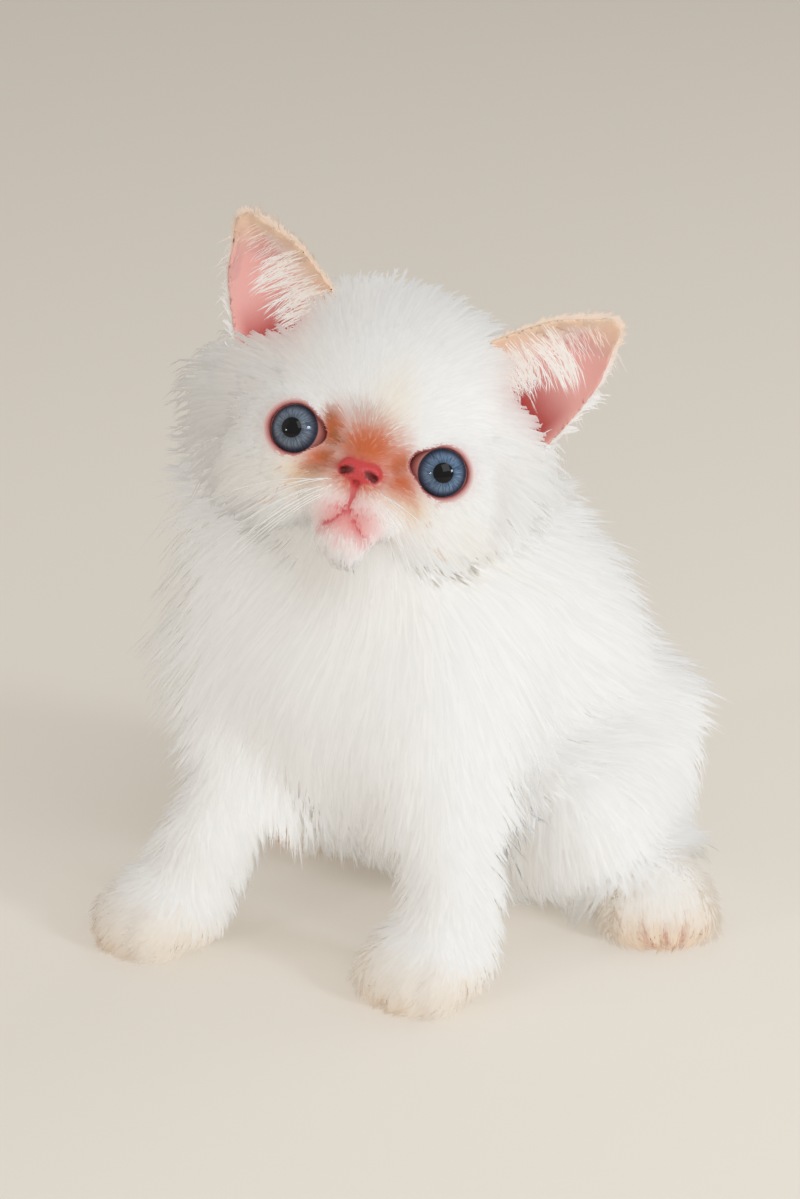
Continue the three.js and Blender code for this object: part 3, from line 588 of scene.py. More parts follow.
def skin_field(p):
    """The skin: the body with its ears, lids, nose and mouth, cut flat on the floor."""
    q = to_head(p).astype(np.float32)
    body = flesh(p)
    near = np.abs(q).max(-1) < HEAD_REACH
    part = q[near]
    face = melt(0.5, body[near], nose_field(part) - 0.1)
    face = cut(0.5, face, mouth_distance(part) - MOUTH_GROOVE)
    face = cut(0.35, face, nostril_field(part))
    for side in (1, -1):
        face = melt(2.2, face, ear_field(part, side))
        hollow = egg(to_ear(part, side).astype(np.float32), (0, 1.0, 3), (9.5, 6, 9))
        face = cut(0.8, face, hollow)
        ahead, beyond = lid_shape(part, side)
        lid = np.hypot(beyond - LID_ROLL, ahead - LID_AHEAD) - LID_ROLL
        face = melt(0.9, face, lid)
        opening = np.maximum(beyond - 0.35 * np.maximum(ahead - 5, 0), 2 - ahead)
        face = cut(0.4, face, opening)
        ball = np.sqrt(((part - eye_centre(side)) ** 2).sum(-1)) - EYE_RADIUS - SOCKET_GAP
        face = cut(0.15, face, ball)
    body[near] = face
    return np.maximum(body, SOLE - p[..., 2])


# %% [markdown]
# ## The skin
# The field becomes a mesh on a grid that is fine at the face and ears and coarse elsewhere. Each
# grid box that the surface crosses gets one point, pulled onto the field, and each grid edge that
# it crosses gets one face between the four boxes round it. That gives one closed skin, with no
# seam between head, body and legs.


# %% Grid
def stations_of_grid(low, high, fine_low, fine_high, fine, coarse, growth=1.22):
    """Grid places along one axis, close together in the fine stretch and wider beyond it."""
    middle = np.arange(fine_low, fine_high, fine)

    def onward(start, end):
        places, step = [], fine
        place = start
        while (place - end) * np.sign(end - start) < 0:
            step = min(step * growth, coarse)
            place += step * np.sign(end - start)
            places.append(place)
        return places

    after = onward(middle[-1], high)
    before = onward(fine_low, low)
    return np.array([*before[::-1], *middle, *after], np.float32)


PAW_REACH = 18


def body_box():
    """The box round the flesh, seen in the head's own axes."""
    stations = [BREAST, WITHERS, LOIN, RUMP, BELLY, GROIN, NAPE, POLL, *TAIL]
    paws = ("forepaw", "hindpaw")
    for s in (LEFT, RIGHT):
        stations += [place for name, place in s.items() if name not in paws]
        stations += [(s[name][0], PAW_REACH) for name in paws]
    centres = to_head(np.array([c for c, _ in stations], float))
    radii = np.array([r for _, r in stations])[:, None] + 8
    return np.minimum((centres - radii).min(0), -36), np.maximum((centres + radii).max(0), 36)


FINE = 0.66
box_low, box_high = body_box()
GRID = [
    stations_of_grid(box_low[0], box_high[0], -56, 56, FINE, 3.2),
    stations_of_grid(box_low[1], box_high[1], -31, 17, FINE, 3.2),
    stations_of_grid(box_low[2], box_high[2], -32, 50, FINE, 3.2),
]
note(f"grid of {' x '.join(str(len(a)) for a in GRID)} points")


# %% Field on the grid
def field_on_grid(field, axes):
    """The field at every grid point, one slab at a time."""
    xs, ys, zs = axes
    values = np.empty((len(xs), len(ys), len(zs)), np.float32)
    sheet = np.stack(np.meshgrid(ys, zs, indexing="ij"), -1)
    for i, x in enumerate(xs):
        q = np.concatenate([np.full(sheet.shape[:2] + (1,), x, np.float32), sheet], -1)
        values[i] = field(from_head(q).astype(np.float32))
    return values


# %% Surface net
def surface_net(values, axes):
    """Points and four-sided faces of the surface where the values change sign."""
    inside = values < 0
    count = np.zeros(tuple(n - 1 for n in inside.shape), np.int8)
    corners = [(i, j, k) for i in (0, 1) for j in (0, 1) for k in (0, 1)]
    for o in corners:
        count += inside[tuple(slice(c, c + n) for c, n in zip(o, count.shape))]
    cells = np.argwhere((count > 0) & (count < 8))
    index = np.full(count.shape, -1, np.int32)
    index[tuple(cells.T)] = np.arange(len(cells))
    total = np.zeros((len(cells), 3))
    hits = np.zeros(len(cells))
    for o in corners:
        for axis in range(3):
            if o[axis]:
                continue
            a = cells + o
            b = a.copy()
            b[:, axis] += 1
            va, vb = values[tuple(a.T)], values[tuple(b.T)]
            crossed = (va < 0) != (vb < 0)
            share = np.where(crossed, va / np.where(crossed, va - vb, 1), 0)
            pa = np.stack([axes[d][a[:, d]] for d in range(3)], -1)
            pb = np.stack([axes[d][b[:, d]] for d in range(3)], -1)
            total += np.where(crossed[:, None], pa + share[:, None] * (pb - pa), 0)
            hits += crossed
    points = total / hits[:, None]
    faces = []
    for axis in range(3):
        u, v = [(1, 2), (2, 0), (0, 1)][axis]
        low = [slice(None)] * 3
        high = [slice(None)] * 3
        low[axis], high[axis] = slice(0, -1), slice(1, None)
        change = inside[tuple(low)] != inside[tuple(high)]
        edges = np.argwhere(change)
        edges = edges[(edges[:, u] > 0) & (edges[:, v] > 0)]
        edges = edges[(edges[:, u] < values.shape[u] - 1) & (edges[:, v] < values.shape[v] - 1)]
        ring = []
        for du, dv in ((-1, -1), (0, -1), (0, 0), (-1, 0)):
            cell = edges.copy()
            cell[:, u] += du
            cell[:, v] += dv
            ring.append(index[tuple(cell.T)])
        ring = np.stack(ring, -1)
        flip = ~inside[tuple(edges.T)]
        ring[flip] = ring[flip][:, ::-1]
        faces.append(ring)
    return points, np.concatenate(faces)


# %% The skin's points
def outward(field, p, h=0.25):
    """The direction in which the field grows, and how fast."""
    steps = np.eye(3, dtype=np.float32) * h
    return np.stack([field(p + d) - field(p - d) for d in steps], -1) / (2 * h)


values = field_on_grid(skin_field, GRID)
note("field on the grid")
skin_points, skin_faces = surface_net(values, GRID)
skin_points = from_head(skin_points)
for _ in range(2):
    slope = outward(skin_field, skin_points.astype(np.float32))
    size = np.maximum((slope**2).sum(-1, keepdims=True), 0.3)
    step = skin_field(skin_points.astype(np.float32))[:, None] * slope / size
    skin_points -= np.clip(step, -0.3, 0.3)
note(f"skin of {len(skin_points)} points and {2 * len(skin_faces)} triangles")


# %% [markdown]
# ## Markings
# The kitten is a flame point that is still nearly white. The nose leather, lips, lid rims and the
# insides of the ears are bare pink skin, tears have stained the hair between the eyes and the nose
# orange, and the ear edges, paws and tail have a first cream tint. Shade is painted as well: inside
# the nostrils, in the hollows between the hind toes, and over the deeper red low in each ear cup.
# One function gives each of these as a mask from 0 to 1 at any point, so that skin and hair carry
# the same pattern.


# %% Marking masks
def spot(q, centre, radii, power=2.0):
    """A soft spot on the face: 1 at its centre, fading out at its radii."""
    d = (q[..., [0, 2]] - np.array(centre)) / np.array(radii)
    return np.exp(-((d * d).sum(-1) ** (power / 2)) * 1.6)


def markings(p):
    """Masks of every marking and of the painted shade, at points of the body."""
    p = np.asarray(p, np.float32)
    q = to_head(p).astype(np.float32)
    front = smooth(-q[..., 1], 4, 14)
    bare = smooth(-nose_field(q), -0.75, -0.15)
    lips = 1 - smooth(mouth_distance(q), 0.5, 1.9)
    rims = np.zeros(len(p), np.float32)
    for side in (1, -1):
        ahead, beyond = lid_shape(q, side)
        rims = np.maximum(rims, (1 - smooth(beyond, 0.3, 2.9)) * smooth(ahead, 1, 2.5))
    stain = np.maximum.reduce([
        spot(q, (0, -5.4), (9.5, 7.6), 3),
        spot(q, (8.8, -10.2), (7.2, 6.2)),
        spot(q, (-9.0, -9.8), (7.4, 6.2)),
        spot(q, (-8.4, -3.2), (4.8, 5.6), 3),
        spot(q, (6.6, -6.4), (5.4, 5.8), 3) * 0.95,
        spot(q, (0, -12), (10, 5.6), 3) * 0.9,
    ]) * front
    rust = np.maximum.reduce([
        spot(q, (-9.4, -0.8), (2.8, 2.8)) * 0.75,
        spot(q, (-7.2, -4.8), (2.6, 3.4)),
        spot(q, (-8.0, -9.4), (2.4, 3.0)) * 0.8,
        spot(q, (-10.6, -12.6), (2.8, 1.8)) * 0.55,
        spot(q, (-3.0, 1.6), (4.6, 2.8)) * 0.35,
        spot(q, (7.5, -6.6), (2.0, 2.2)) * 0.35,
    ]) * front
    yellow = np.maximum.reduce([
        spot(q, (-12.5, -13.8), (8.5, 4.2)) * 0.7,
        spot(q, (12.2, -14), (7.5, 4.0)) * 0.6,
        spot(q, (2, 4), (5.5, 13)) * 0.32,
        spot(q, (27, -20), (9, 10)) * 0.2,
    ]) * front
    blush = spot(q, (0.6, -22), (9.2, 5.6), 3) * smooth(-q[..., 1], 14, 20)
    # painted shade inside the nostrils
    holes = 1 - smooth(nostril_field(q), -0.1, 0.45)
    ears, ear_hollow_red_and_shade, edges = (np.zeros(len(p), np.float32) for _ in range(3))
    for side in (1, -1):
        e = to_ear(q, side)
        across, up, half, back = ear_sheet(e[..., 0], e[..., 2])
        on_ear = smooth(-ear_field(q, side), -2.2, -0.8)
        inside = smooth(back - e[..., 1], -0.4, 0.5)
        outer = across * side
        ears = np.maximum(ears, on_ear * inside * (1 - 0.55 * smooth(-outer, 0.15, 0.6)))
        low = (1 - smooth(up, 0.2, 0.55)) * smooth(outer, -0.3, 0.1) * (1 - smooth(outer, 0.75, 1))
        # low in the ear cup: the skin's own deeper red, with painted shade of the hollow
        ear_hollow_red_and_shade = np.maximum(ear_hollow_red_and_shade, low * inside * smooth(-ear_field(q, side), -9, -3))
        rim = smooth(-outer, 0.3, 0.95) + 0.1 * smooth(outer, 0.85, 1) + smooth(up, 0.74, 0.97)
        edges = np.maximum(edges, on_ear * np.clip(rim + 0.35 * (1 - inside), 0, 1))
    cream, toes, toe_gap_shade = (np.zeros(len(p), np.float32) for _ in range(3))
    for s in (LEFT, RIGHT):
        for name in ("forepaw", "hindpaw"):
            centre, turn = s[name]
            t = (p - np.array(centre, np.float32)) @ turned(2, turn).astype(np.float32)
            near = 1 - smooth(np.sqrt((t * t).sum(-1)), 11, 26)
            cream = np.maximum(cream, near * (1 - smooth(p[..., 2], 4, 22)))
            hind = name == "hindpaw"
            ahead = smooth(-t[..., 1], 3 if hind else 6, 13)
            ahead = ahead * (1 - smooth(p[..., 2], 3, 14 if hind else 10)) * near
            toes = np.maximum(toes, ahead * (1.0 if hind else 0.6))
            if hind:
                # painted shade in the hollows between the hind toes, near the floor
                gap = np.cos(np.clip(t[..., 0] / TOE_GAP, -1.5, 1.5) * 2 * np.pi) * 0.5 + 0.5
                gap = gap**3 * smooth(-t[..., 1], 5, 11) * (1 - smooth(p[..., 2], 5, 13)) * near
                toe_gap_shade = np.maximum(toe_gap_shade, gap)
    tail = melt(1, *chain(p, TAIL))
    cream = np.maximum(cream, 0.8 * (1 - smooth(tail, 0, 10)) * smooth(p[..., 1], 112, 128))
    return dict(
        bare=np.clip(bare, 0, 1), lips=np.clip(lips * front, 0, 1), rims=np.clip(rims, 0, 1),
        stain=stain, rust=rust, yellow=yellow, blush=blush, holes=holes,
        ears=ears, ear_hollow_red_and_shade=ear_hollow_red_and_shade, edges=edges, cream=cream, toes=toes, toe_gap_shade=toe_gap_shade,
    )


def carry(made, masks):
    """Stores one number for each point of a mesh, under each name."""
    for name, values in masks.items():
        layer = made.data.attributes.new(name, "FLOAT", "POINT")
        layer.data.foreach_set("value", np.ascontiguousarray(values, np.float32))


# %% [markdown]
# ## Finishes of skin and hair
# Skin and hair mix the same colours by the same masks. The nose leather and the lid rims are
# smoother than the rest of the skin, because they are moist. The nose also has a grain of small
# bumps, and the finest down on the skin is a bump too.

# %% Colours
WHITE = (0.91, 0.895, 0.87)
# a greyer white: random patches on skin and whiskers, and painted shade towards the roots of the
# hair
SHADED_WHITE = (0.87, 0.84, 0.80)
CREAM = (0.84, 0.68, 0.50)
YELLOW = (0.86, 0.66, 0.36)
AMBER = (0.80, 0.50, 0.27)
# painted shade: the dark red-brown in the hollows between the hind toes
TOE_GAP_SHADE = (0.50, 0.17, 0.11)
ORANGE = (0.61, 0.14, 0.048)
RUST = (0.33, 0.105, 0.035)
NOSE_PINK = (0.60, 0.062, 0.065)
LIP_PINK = (0.62, 0.095, 0.105)
# painted shade: the near black inside the nostrils
NOSTRIL_SHADE = (0.10, 0.014, 0.012)
RIM_PINK = (0.52, 0.15, 0.14)
BLUSH = (0.79, 0.28, 0.26)
EAR_PINK = (0.81, 0.42, 0.38)
# the skin's deeper red low in each ear cup, darkened further as painted shade of the hollow
EAR_HOLLOW_RED_AND_SHADE = (0.48, 0.05, 0.045)
PEACH = (0.87, 0.62, 0.43)


TINTS = [
    # mask, colour, strength on skin, strength on hair
    ("cream", CREAM, 0.62, 0.62),
    ("toes", AMBER, 0.68, 0.68),
    # painted shade between the hind toes
    ("toe_gap_shade", TOE_GAP_SHADE, 0.75, 0.75),
    ("yellow", YELLOW, 0.8, 0.8),
    ("blush", BLUSH, 1.0, 0.85),
    ("stain", ORANGE, 1.0, 1.0),
    ("rust", RUST, 1.0, 0.85),
    ("ears", EAR_PINK, 1.0, 0.35),
    ("edges", PEACH, 0.8, 0.62),
    # the ear cup's deeper red, partly painted shade of the hollow
    ("ear_hollow_red_and_shade", EAR_HOLLOW_RED_AND_SHADE, 1.0, 0.1),
    ("rims", RIM_PINK, 1.0, 0.5),
    ("lips", LIP_PINK, 1.0, 0.8),
    ("bare", NOSE_PINK, 1.0, 0.9),
    # painted shade inside the nostrils
    ("holes", NOSTRIL_SHADE, 1.0, 1.0),
]
FADING_TINTS = ("lips", "bare", "holes", "rims")  # they leave a hair towards its tip


def marked(finish, base, hair):
    """The coat's colour with each marking and painted shade laid over it."""
    colour = base
    fading = 1 - 0.9 * finish.attribute("along") if hair else 1.0
    for name, tint, on_skin, on_hair in TINTS:
        share = finish.attribute(name) * (on_hair if hair else on_skin)
        if name in FADING_TINTS:
            share = share * fading
        colour = finish.mix(share, colour, tint)
    return colour


skin_finish = Finish("skin")
patches = skin_finish.noise(90.0)
base = skin_finish.mix(patches.step(0.35, 0.7), WHITE, SHADED_WHITE)
skin_finish.set(
    Base_Color=marked(skin_finish, base, hair=False),
    Roughness=0.62 - 0.3 * skin_finish.attribute("bare") - 0.2 * skin_finish.attribute("rims"),
    Specular_IOR_Level=0.35,
    Subsurface_Weight=0.12,
    Subsurface_Radius=(0.8, 0.35, 0.25),
    Subsurface_Scale=0.003,
)
grain = skin_finish.node(
    "ShaderNodeTexVoronoi", None, Vector=skin_finish.place(), Scale=1500.0
) * skin_finish.attribute("bare")
short_hair = skin_finish.noise(900.0, 4.0)
skin_finish.bump(short_hair * 0.5 + grain, 0.35, 0.0004)

# %% Skin piece
skin = mesh_object("skin", (skin_points + SHIFT) * MM, skin_faces, skin_finish)
carry(skin, markings(skin_points))
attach(skin, "root")
FLESH_NODES = [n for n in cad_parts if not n.startswith("eye_")]
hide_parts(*FLESH_NODES)
note(f"skin replaces {len(FLESH_NODES)} nodes")

# %% [markdown]
# ## The eyes
# The iris is slate blue with a darker ring at its edge, fine spokes, and a round black pupil. The
# eye is turned as one smooth surface about its own axis, a ball with the bulge of the cornea, and
# its colours are rings about that axis. A clear coat gives the wet shine.

# %% Eyes
IRIS_EDGE = 6.0
PUPIL = 2.6
WET = 1.34  # how strongly a film of tears bends light
DARK_RING = (0.016, 0.023, 0.042)
PUPIL_BLACK = (0.004, 0.004, 0.005)
LID_FLESH = (0.64, 0.30, 0.26)  # the pink that shows in the corners of the eye


def eye_finish(side, name, light, dark):
    finish = Finish(name)
    centre = (from_head(eye_centre(side)) + SHIFT) * MM
    axis = Vector(HEAD @ gaze(side)).to_track_quat("Z", "Y").to_euler()
    moved = finish.node(
        "ShaderNodeMapping", {"vector_type": "TEXTURE"}, finish.place(),
        tuple(centre), tuple(axis), (MM, MM, MM),
    )
    parts = finish.node("ShaderNodeSeparateXYZ", None, moved)
    x, y = parts, Wire(finish, parts.socket.node.outputs[1])
    radius = (x * x + y * y) ** 0.5
    angle = finish.node("ShaderNodeMath", {"operation": "ARCTAN2"}, y, x)
    around = finish.node(
        "ShaderNodeCombineXYZ", None,
        finish.node("ShaderNodeMath", {"operation": "COSINE"}, angle) * 9,
        finish.node("ShaderNodeMath", {"operation": "SINE"}, angle) * 9,
        radius * 0.35,
    )
    spokes = finish.noise(1.6, 4.0, around).step(0.35, 0.68)
    clouds = finish.noise(0.55, 2.0, around).step(0.35, 0.65)
    iris = finish.mix(spokes, dark, light)
    iris = finish.mix(clouds * 0.45, iris, tuple(0.7 * c for c in light))
    ring = (radius + spokes * 0.25).step(IRIS_EDGE - 1.7, IRIS_EDGE - 0.1)
    iris = finish.mix(ring * 0.85, iris, DARK_RING)
    inner = 1 - (radius + spokes * 0.15).step(PUPIL, PUPIL + 1.3)
    iris = finish.mix(inner * 0.45, iris, tuple(0.4 * c for c in dark))
    ball = finish.mix(radius.step(IRIS_EDGE, IRIS_EDGE + 0.35), iris, LID_FLESH)
    colour = finish.mix(radius.step(PUPIL - 0.12, PUPIL + 0.12), PUPIL_BLACK, ball)
    finish.set(
        Base_Color=colour, Roughness=0.4, Specular_IOR_Level=0.0,
        Coat_Weight=1.0, Coat_Roughness=0.03, Coat_IOR=WET,
    )
    finish.bump(spokes * (1 - ring), 0.25, 0.0002)
    return finish


def eye_mesh(side, around=64, rings=40):
    """A ball turned about the gaze, with the cornea's bulge in front."""
    polar = math.pi * (np.arange(1, rings) / rings) ** 1.25
    forward = gaze(side)
    right = unit(np.cross(forward, [0, 0, 1.0]))
    up = np.cross(right, forward)

    def radius_at(a):
        reach = CORNEA_AHEAD * math.cos(a) + np.sqrt(
            max(CORNEA_RADIUS**2 - (CORNEA_AHEAD * math.sin(a)) ** 2, 0)
        )
        soft = 0.35
        return soft * np.logaddexp(EYE_RADIUS / soft, reach / soft)

    points = [forward * radius_at(0)]
    for a in polar:
        turn = 2 * math.pi * np.arange(around) / around
        ring = forward * math.cos(a) + math.sin(a) * (
            np.cos(turn)[:, None] * right + np.sin(turn)[:, None] * up
        )
        points.extend(ring * radius_at(a))
    points.append(-forward * radius_at(math.pi))
    faces = []
    for k in range(around):
        n = (k + 1) % around
        faces.append((0, 1 + k, 1 + n))
        for r in range(rings - 2):
            low = 1 + r * around
            faces.append((low + k, low + around + k, low + around + n))
            faces.append((low + k, low + around + n, low + n))
        last = 1 + (rings - 2) * around
        faces.append((len(points) - 1, last + n, last + k))
    return np.array(points) + eye_centre(side), np.array(faces)


EYES = [
    # side, piece, CAD node, lightest and darkest blue of the iris
    (1, "eyeball_left", "eye_left", (0.18, 0.28, 0.42), (0.050, 0.088, 0.155)),
    (-1, "eyeball_right", "eye_right", (0.20, 0.25, 0.32), (0.060, 0.080, 0.112)),
]
for side, piece, node, light, dark in EYES:
    points, faces = eye_mesh(side)
    finish = eye_finish(side, piece, light, dark)
    eye = mesh_object(piece, (from_head(points) + SHIFT) * MM, faces, finish)
    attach(eye, "root")
    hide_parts(node)
note("eyes")

# %% [markdown]
# ## The coat
# Each tuft is a flat closed blade that ends in three fine points. Its line starts in the skin and
# is combed: step by step it follows the lie of the coat, rises to the depth that the coat has
# there, and is drawn back where it would stand off too far. Neighbours lean together into wisps.
# On the head the hair runs away from the nose, on the neck away from the skull and down, and over
# the trunk back and down.


# %% The lie of the coat
DOWN = np.array([0, 0, -1.0], np.float32)
NOSE_PLACE = from_head(NOSE).astype(np.float32)
NAMES = ["head", "neck", "torso", "tail"] + [
    part + side
    for part in ("foreleg_", "forepaw_", "thigh_", "hindfoot_")
    for side in ("left", "right")
]


def shares(p):
    """How far each region of the body has a say at each point, adding up to 1."""
    found = regions(p)
    fields = np.stack([found[n] for n in NAMES], -1)
    weight = np.exp(-(fields - fields.min(-1, keepdims=True)) / 4.0)
    return weight / weight.sum(-1, keepdims=True)


def tail_way(p):
    places = np.array([c for c, _ in TAIL], np.float32)
    ways = unit(places[1:] - places[:-1])
    middles = (places[1:] + places[:-1]) / 2
    near = ((p[:, None, :] - middles) ** 2).sum(-1).argmin(1)
    return ways[near]


def paw_way(p, paw):
    turn = turned(2, paw[1]).astype(np.float32)
    return np.broadcast_to(turn @ np.array([0, -1, -0.35], np.float32), p.shape)


def lie(p, weight):
    """The direction in which hair lies at each point."""
    one = np.ones(len(p), np.float32)
    away = unit(p - NOSE_PLACE)
    front = smooth(-p[:, 1], -70, -15)
    torso = np.stack([p[:, 0] * 0.006, 0.8 - 1.05 * front, -0.85 * one], -1)
    ways = {
        "head": away + 0.35 * DOWN,
        "neck": unit(p - SKULL.astype(np.float32)) * 0.6 + 0.8 * DOWN,
        "torso": torso,
        "tail": tail_way(p),
    }
    for side, s in (("left", LEFT), ("right", RIGHT)):
        ways["foreleg_" + side] = np.stack([0 * one, 0.3 * one, -one], -1)
        ways["thigh_" + side] = np.stack([np.sign(p[:, 0]) * 0.15, 0.35 * one, -one], -1)
        ways["forepaw_" + side] = paw_way(p, s["forepaw"])
        ways["hindfoot_" + side] = paw_way(p, s["hindpaw"])
    return unit(sum(weight[:, k, None] * ways[name] for k, name in enumerate(NAMES)))


# %% [markdown]
# ### How long and how deep
# The coat is a millimetre deep on the muzzle and over three centimetres in the ruff. The plan
# below gives its depth, the length and width of a tuft and the number of tufts on a square
# millimetre. Near the eyes it leaves room for the lids, and more so on the side of the nose, where
# the hair would lie across them.

# %% The plan of the coat
PLAN = {
    # region: depth, length, width, tufts on a square millimetre
    "neck": (27, 42, 0.80, 0.78),
    "torso": (22, 40, 0.82, 0.58),
    "tail": (10, 24, 0.80, 0.6),
    "foreleg": (8.5, 17, 0.65, 1.0),
    "forepaw": (7.0, 13, 0.5, 1.5),
    "thigh": (14, 28, 0.80, 0.66),
    "hindfoot": (7.4, 14, 0.55, 1.3),
}


FAR = 99.0  # further from the lids than any root


def head_plan(p):
    """Depth, length, width and density of the coat on the head."""
    q = to_head(p).astype(np.float32)
    x, y, z = np.abs(q[:, 0]), q[:, 1], q[:, 2]
    aside = smooth(x, 20, 30) * smooth(y, -22, -9)
    sweep = smooth(x, 13, 27) * smooth(y, -26, -10)
    jaw = smooth(-z, 8, 19) * smooth(x, 8, 18) * smooth(y, -27, -15)
    crown = smooth(z, 8, 26) * smooth(y, -20, -4)
    behind = smooth(y, -2, 22)
    muzzle = 1 - smooth(np.sqrt(((q - [0, -24, -15]) ** 2).sum(-1)), 7, 22)
    chin = smooth(-z, 25, 31) * smooth(-y, -4, 10)
    cheek = np.maximum(aside, behind)
    long = np.maximum(sweep, behind)
    cheek = cheek * (28 - 8 * smooth(z, 2, 18))
    deeper = np.maximum.reduce([cheek, crown * 13, chin * 7, jaw * 15])
    longer = np.maximum.reduce([long * 36, crown * 17, chin * 13, jaw * 25])
    depth = 1.3 + (1 - muzzle) * 1.6 + deeper
    length = 2.6 + (1 - muzzle) * 4.8 + longer
    width = 0.40 + 0.36 * np.maximum.reduce([long, crown * 0.7, jaw])
    density = 2.7 - 1.5 * np.maximum.reduce([long, crown * 0.8, jaw])
    room = np.full(len(p), FAR, np.float32)
    for side in (1, -1):
        ahead, beyond = lid_shape(q, side)
        room = np.minimum(room, np.where(ahead > -3, beyond, FAR) - 1.1)
    room = np.maximum(room, 0.2)
    from_eye = np.stack([x - EYE_SIDE, z - EYE_HEIGHT], -1)
    from_nose = np.stack([x, z - NOSE[2]], -1)
    outer = smooth((unit(from_eye) * unit(from_nose)).sum(-1), 0.15, 0.8)
    length = np.minimum(length, 1.7 + (0.85 + 2.6 * outer) * room)
    depth = np.minimum(depth, 0.55 + (0.36 + 2.0 * outer) * room)
    density = density * (1 + 0.9 * (1 - smooth(room, 0.5, 4)))
    return depth, length, width, density


def coat_plan(p, weight):
    """Depth, length, width and density of the coat at each root."""
    sums = [np.zeros(len(p), np.float32) for _ in range(4)]
    for k, name in enumerate(NAMES):
        part = name.split("_")[0]
        rows = head_plan(p) if part == "head" else PLAN[part]
        for total, row in zip(sums, rows):
            total += weight[:, k] * row
    depth, length, width, density = sums
    forward = (p - np.array(POLL[0], np.float32)) @ (-HEAD[:, 1]).astype(np.float32)
    thin = 0.45 * smooth(forward, 4, 26) * weight[:, NAMES.index("neck")]
    ruff = smooth(p[:, 2], 82, 108) * smooth(-p[:, 0], -14, 30) * smooth(-p[:, 1], -60, -20)
    depth = depth * (1 - thin) * (1 + 0.4 * ruff)
    low = 1 - 0.25 * (1 - smooth(p[:, 2], 5, 30))
    return depth * low, length * low, width, density


# %% Roots
rng = np.random.default_rng(11)
corners = skin_points[np.concatenate([skin_faces[:, [0, 1, 2]], skin_faces[:, [0, 2, 3]]])]
sides = corners[:, 1:] - corners[:, :1]
areas = np.sqrt((np.cross(sides[:, 0], sides[:, 1]) ** 2).sum(-1)) / 2
centres = corners.mean(1).astype(np.float32)


def coated(p):
    """1 where the skin grows the combed coat, and 0 on ears, lids, nose, lips and soles."""
    q = to_head(p).astype(np.float32)
    keep = (p[:, 2] > 1.2) & (nose_field(q) > 0.3) & (mouth_distance(q) > 0.8)
    for side in (1, -1):
        ahead, beyond = lid_shape(q, side)
        keep &= (beyond > 1.25) | (ahead < -4)
        keep &= ear_field(q, side) > 0.8
    return keep


share = shares(centres)
density = coat_plan(centres, share)[3] * coated(centres)
amount = np.cumsum(areas * density)
COAT_SCALE = 1.0
count = int(amount[-1] * COAT_SCALE)
picks = np.searchsorted(amount, (np.arange(count) + rng.random(count)) / count * amount[-1])
picks = np.minimum(picks, len(corners) - 1)
a, b = rng.random((2, count, 1))
fold = a + b > 1
a, b = np.where(fold, 1 - a, a), np.where(fold, 1 - b, b)
c = corners[picks]
roots = (c[:, 0] + a * (c[:, 1] - c[:, 0]) + b * (c[:, 2] - c[:, 0])).astype(np.float32)
root_share = shares(roots)
region = root_share.argmax(-1)
note(f"{count} roots: " + ", ".join(f"{n} {(region == k).sum()}" for k, n in enumerate(NAMES)))

# %% [markdown]
# ### Combing
# All the tufts are combed at once, one step along the hair at a time.


# %% Comb
CLEAR = 1.05  # how far all hair stays off the gap between the lids


def clear_of_eyes(p):
    """Points moved sideways out of the gap between the lids."""
    q = to_head(p).astype(np.float32)
    for side in (1, -1):
        ahead, beyond = lid_shape(q, side)
        forward = gaze(side).astype(np.float32)
        flat = q - eye_centre(side).astype(np.float32)
        flat = unit(flat - (flat @ forward)[:, None] * forward)
        short = np.where(ahead > 0, np.maximum(CLEAR - beyond, 0), 0)
        q = q + flat * short[:, None]
    return from_head(q).astype(np.float32)


ROOT_BELOW = 0.5  # how deep a tuft starts below the skin
LIFT, SETTLE = 0.75, 0.35  # the share of its way to the coat's depth that one step rises or falls
ONWARD, FLATWARD, SAG = 0.55, 0.45, 0.06  # what the next step's direction is mixed from


def along_surface(way, n):
    """A direction with its part across the surface taken away."""
    return unit(way - (way * n).sum(-1, keepdims=True) * n)


def comb(roots, weight, depth, length, points):
    """Lines of the tufts from root to tip, and the body's outward direction along them."""
    p = roots.copy()
    n = unit(outward(flesh, p, 0.6))
    way = along_surface(lie(p, weight), n)
    rise = np.clip(1.25 * depth / length, 0.08, 0.85)[:, None]
    way = unit(way * np.sqrt(1 - rise**2) + n * rise)
    p = p - ROOT_BELOW * n
    line, normals = [p.copy()], [n]
    step = (length / (points - 1))[:, None]
    for k in range(1, points):
        p = p + way * step
        far = (k / (points - 1)) ** 0.8
        above = flesh(p)
        n = unit(outward(flesh, p, 0.6))
        gap = depth * far - above
        p = p + n * (gap * np.where(gap > 0, LIFT, SETTLE))[:, None]
        p[:, 2] = np.maximum(p[:, 2], 0.5)
        p = clear_of_eyes(p)
        onward = unit(p - line[-1])
        flat = along_surface(lie(p, weight), n)
        way = unit(onward * ONWARD + flat * FLATWARD + DOWN * SAG)
        line.append(p.copy())
        normals.append(n)
    return np.stack(line, 1), np.stack(normals, 1)


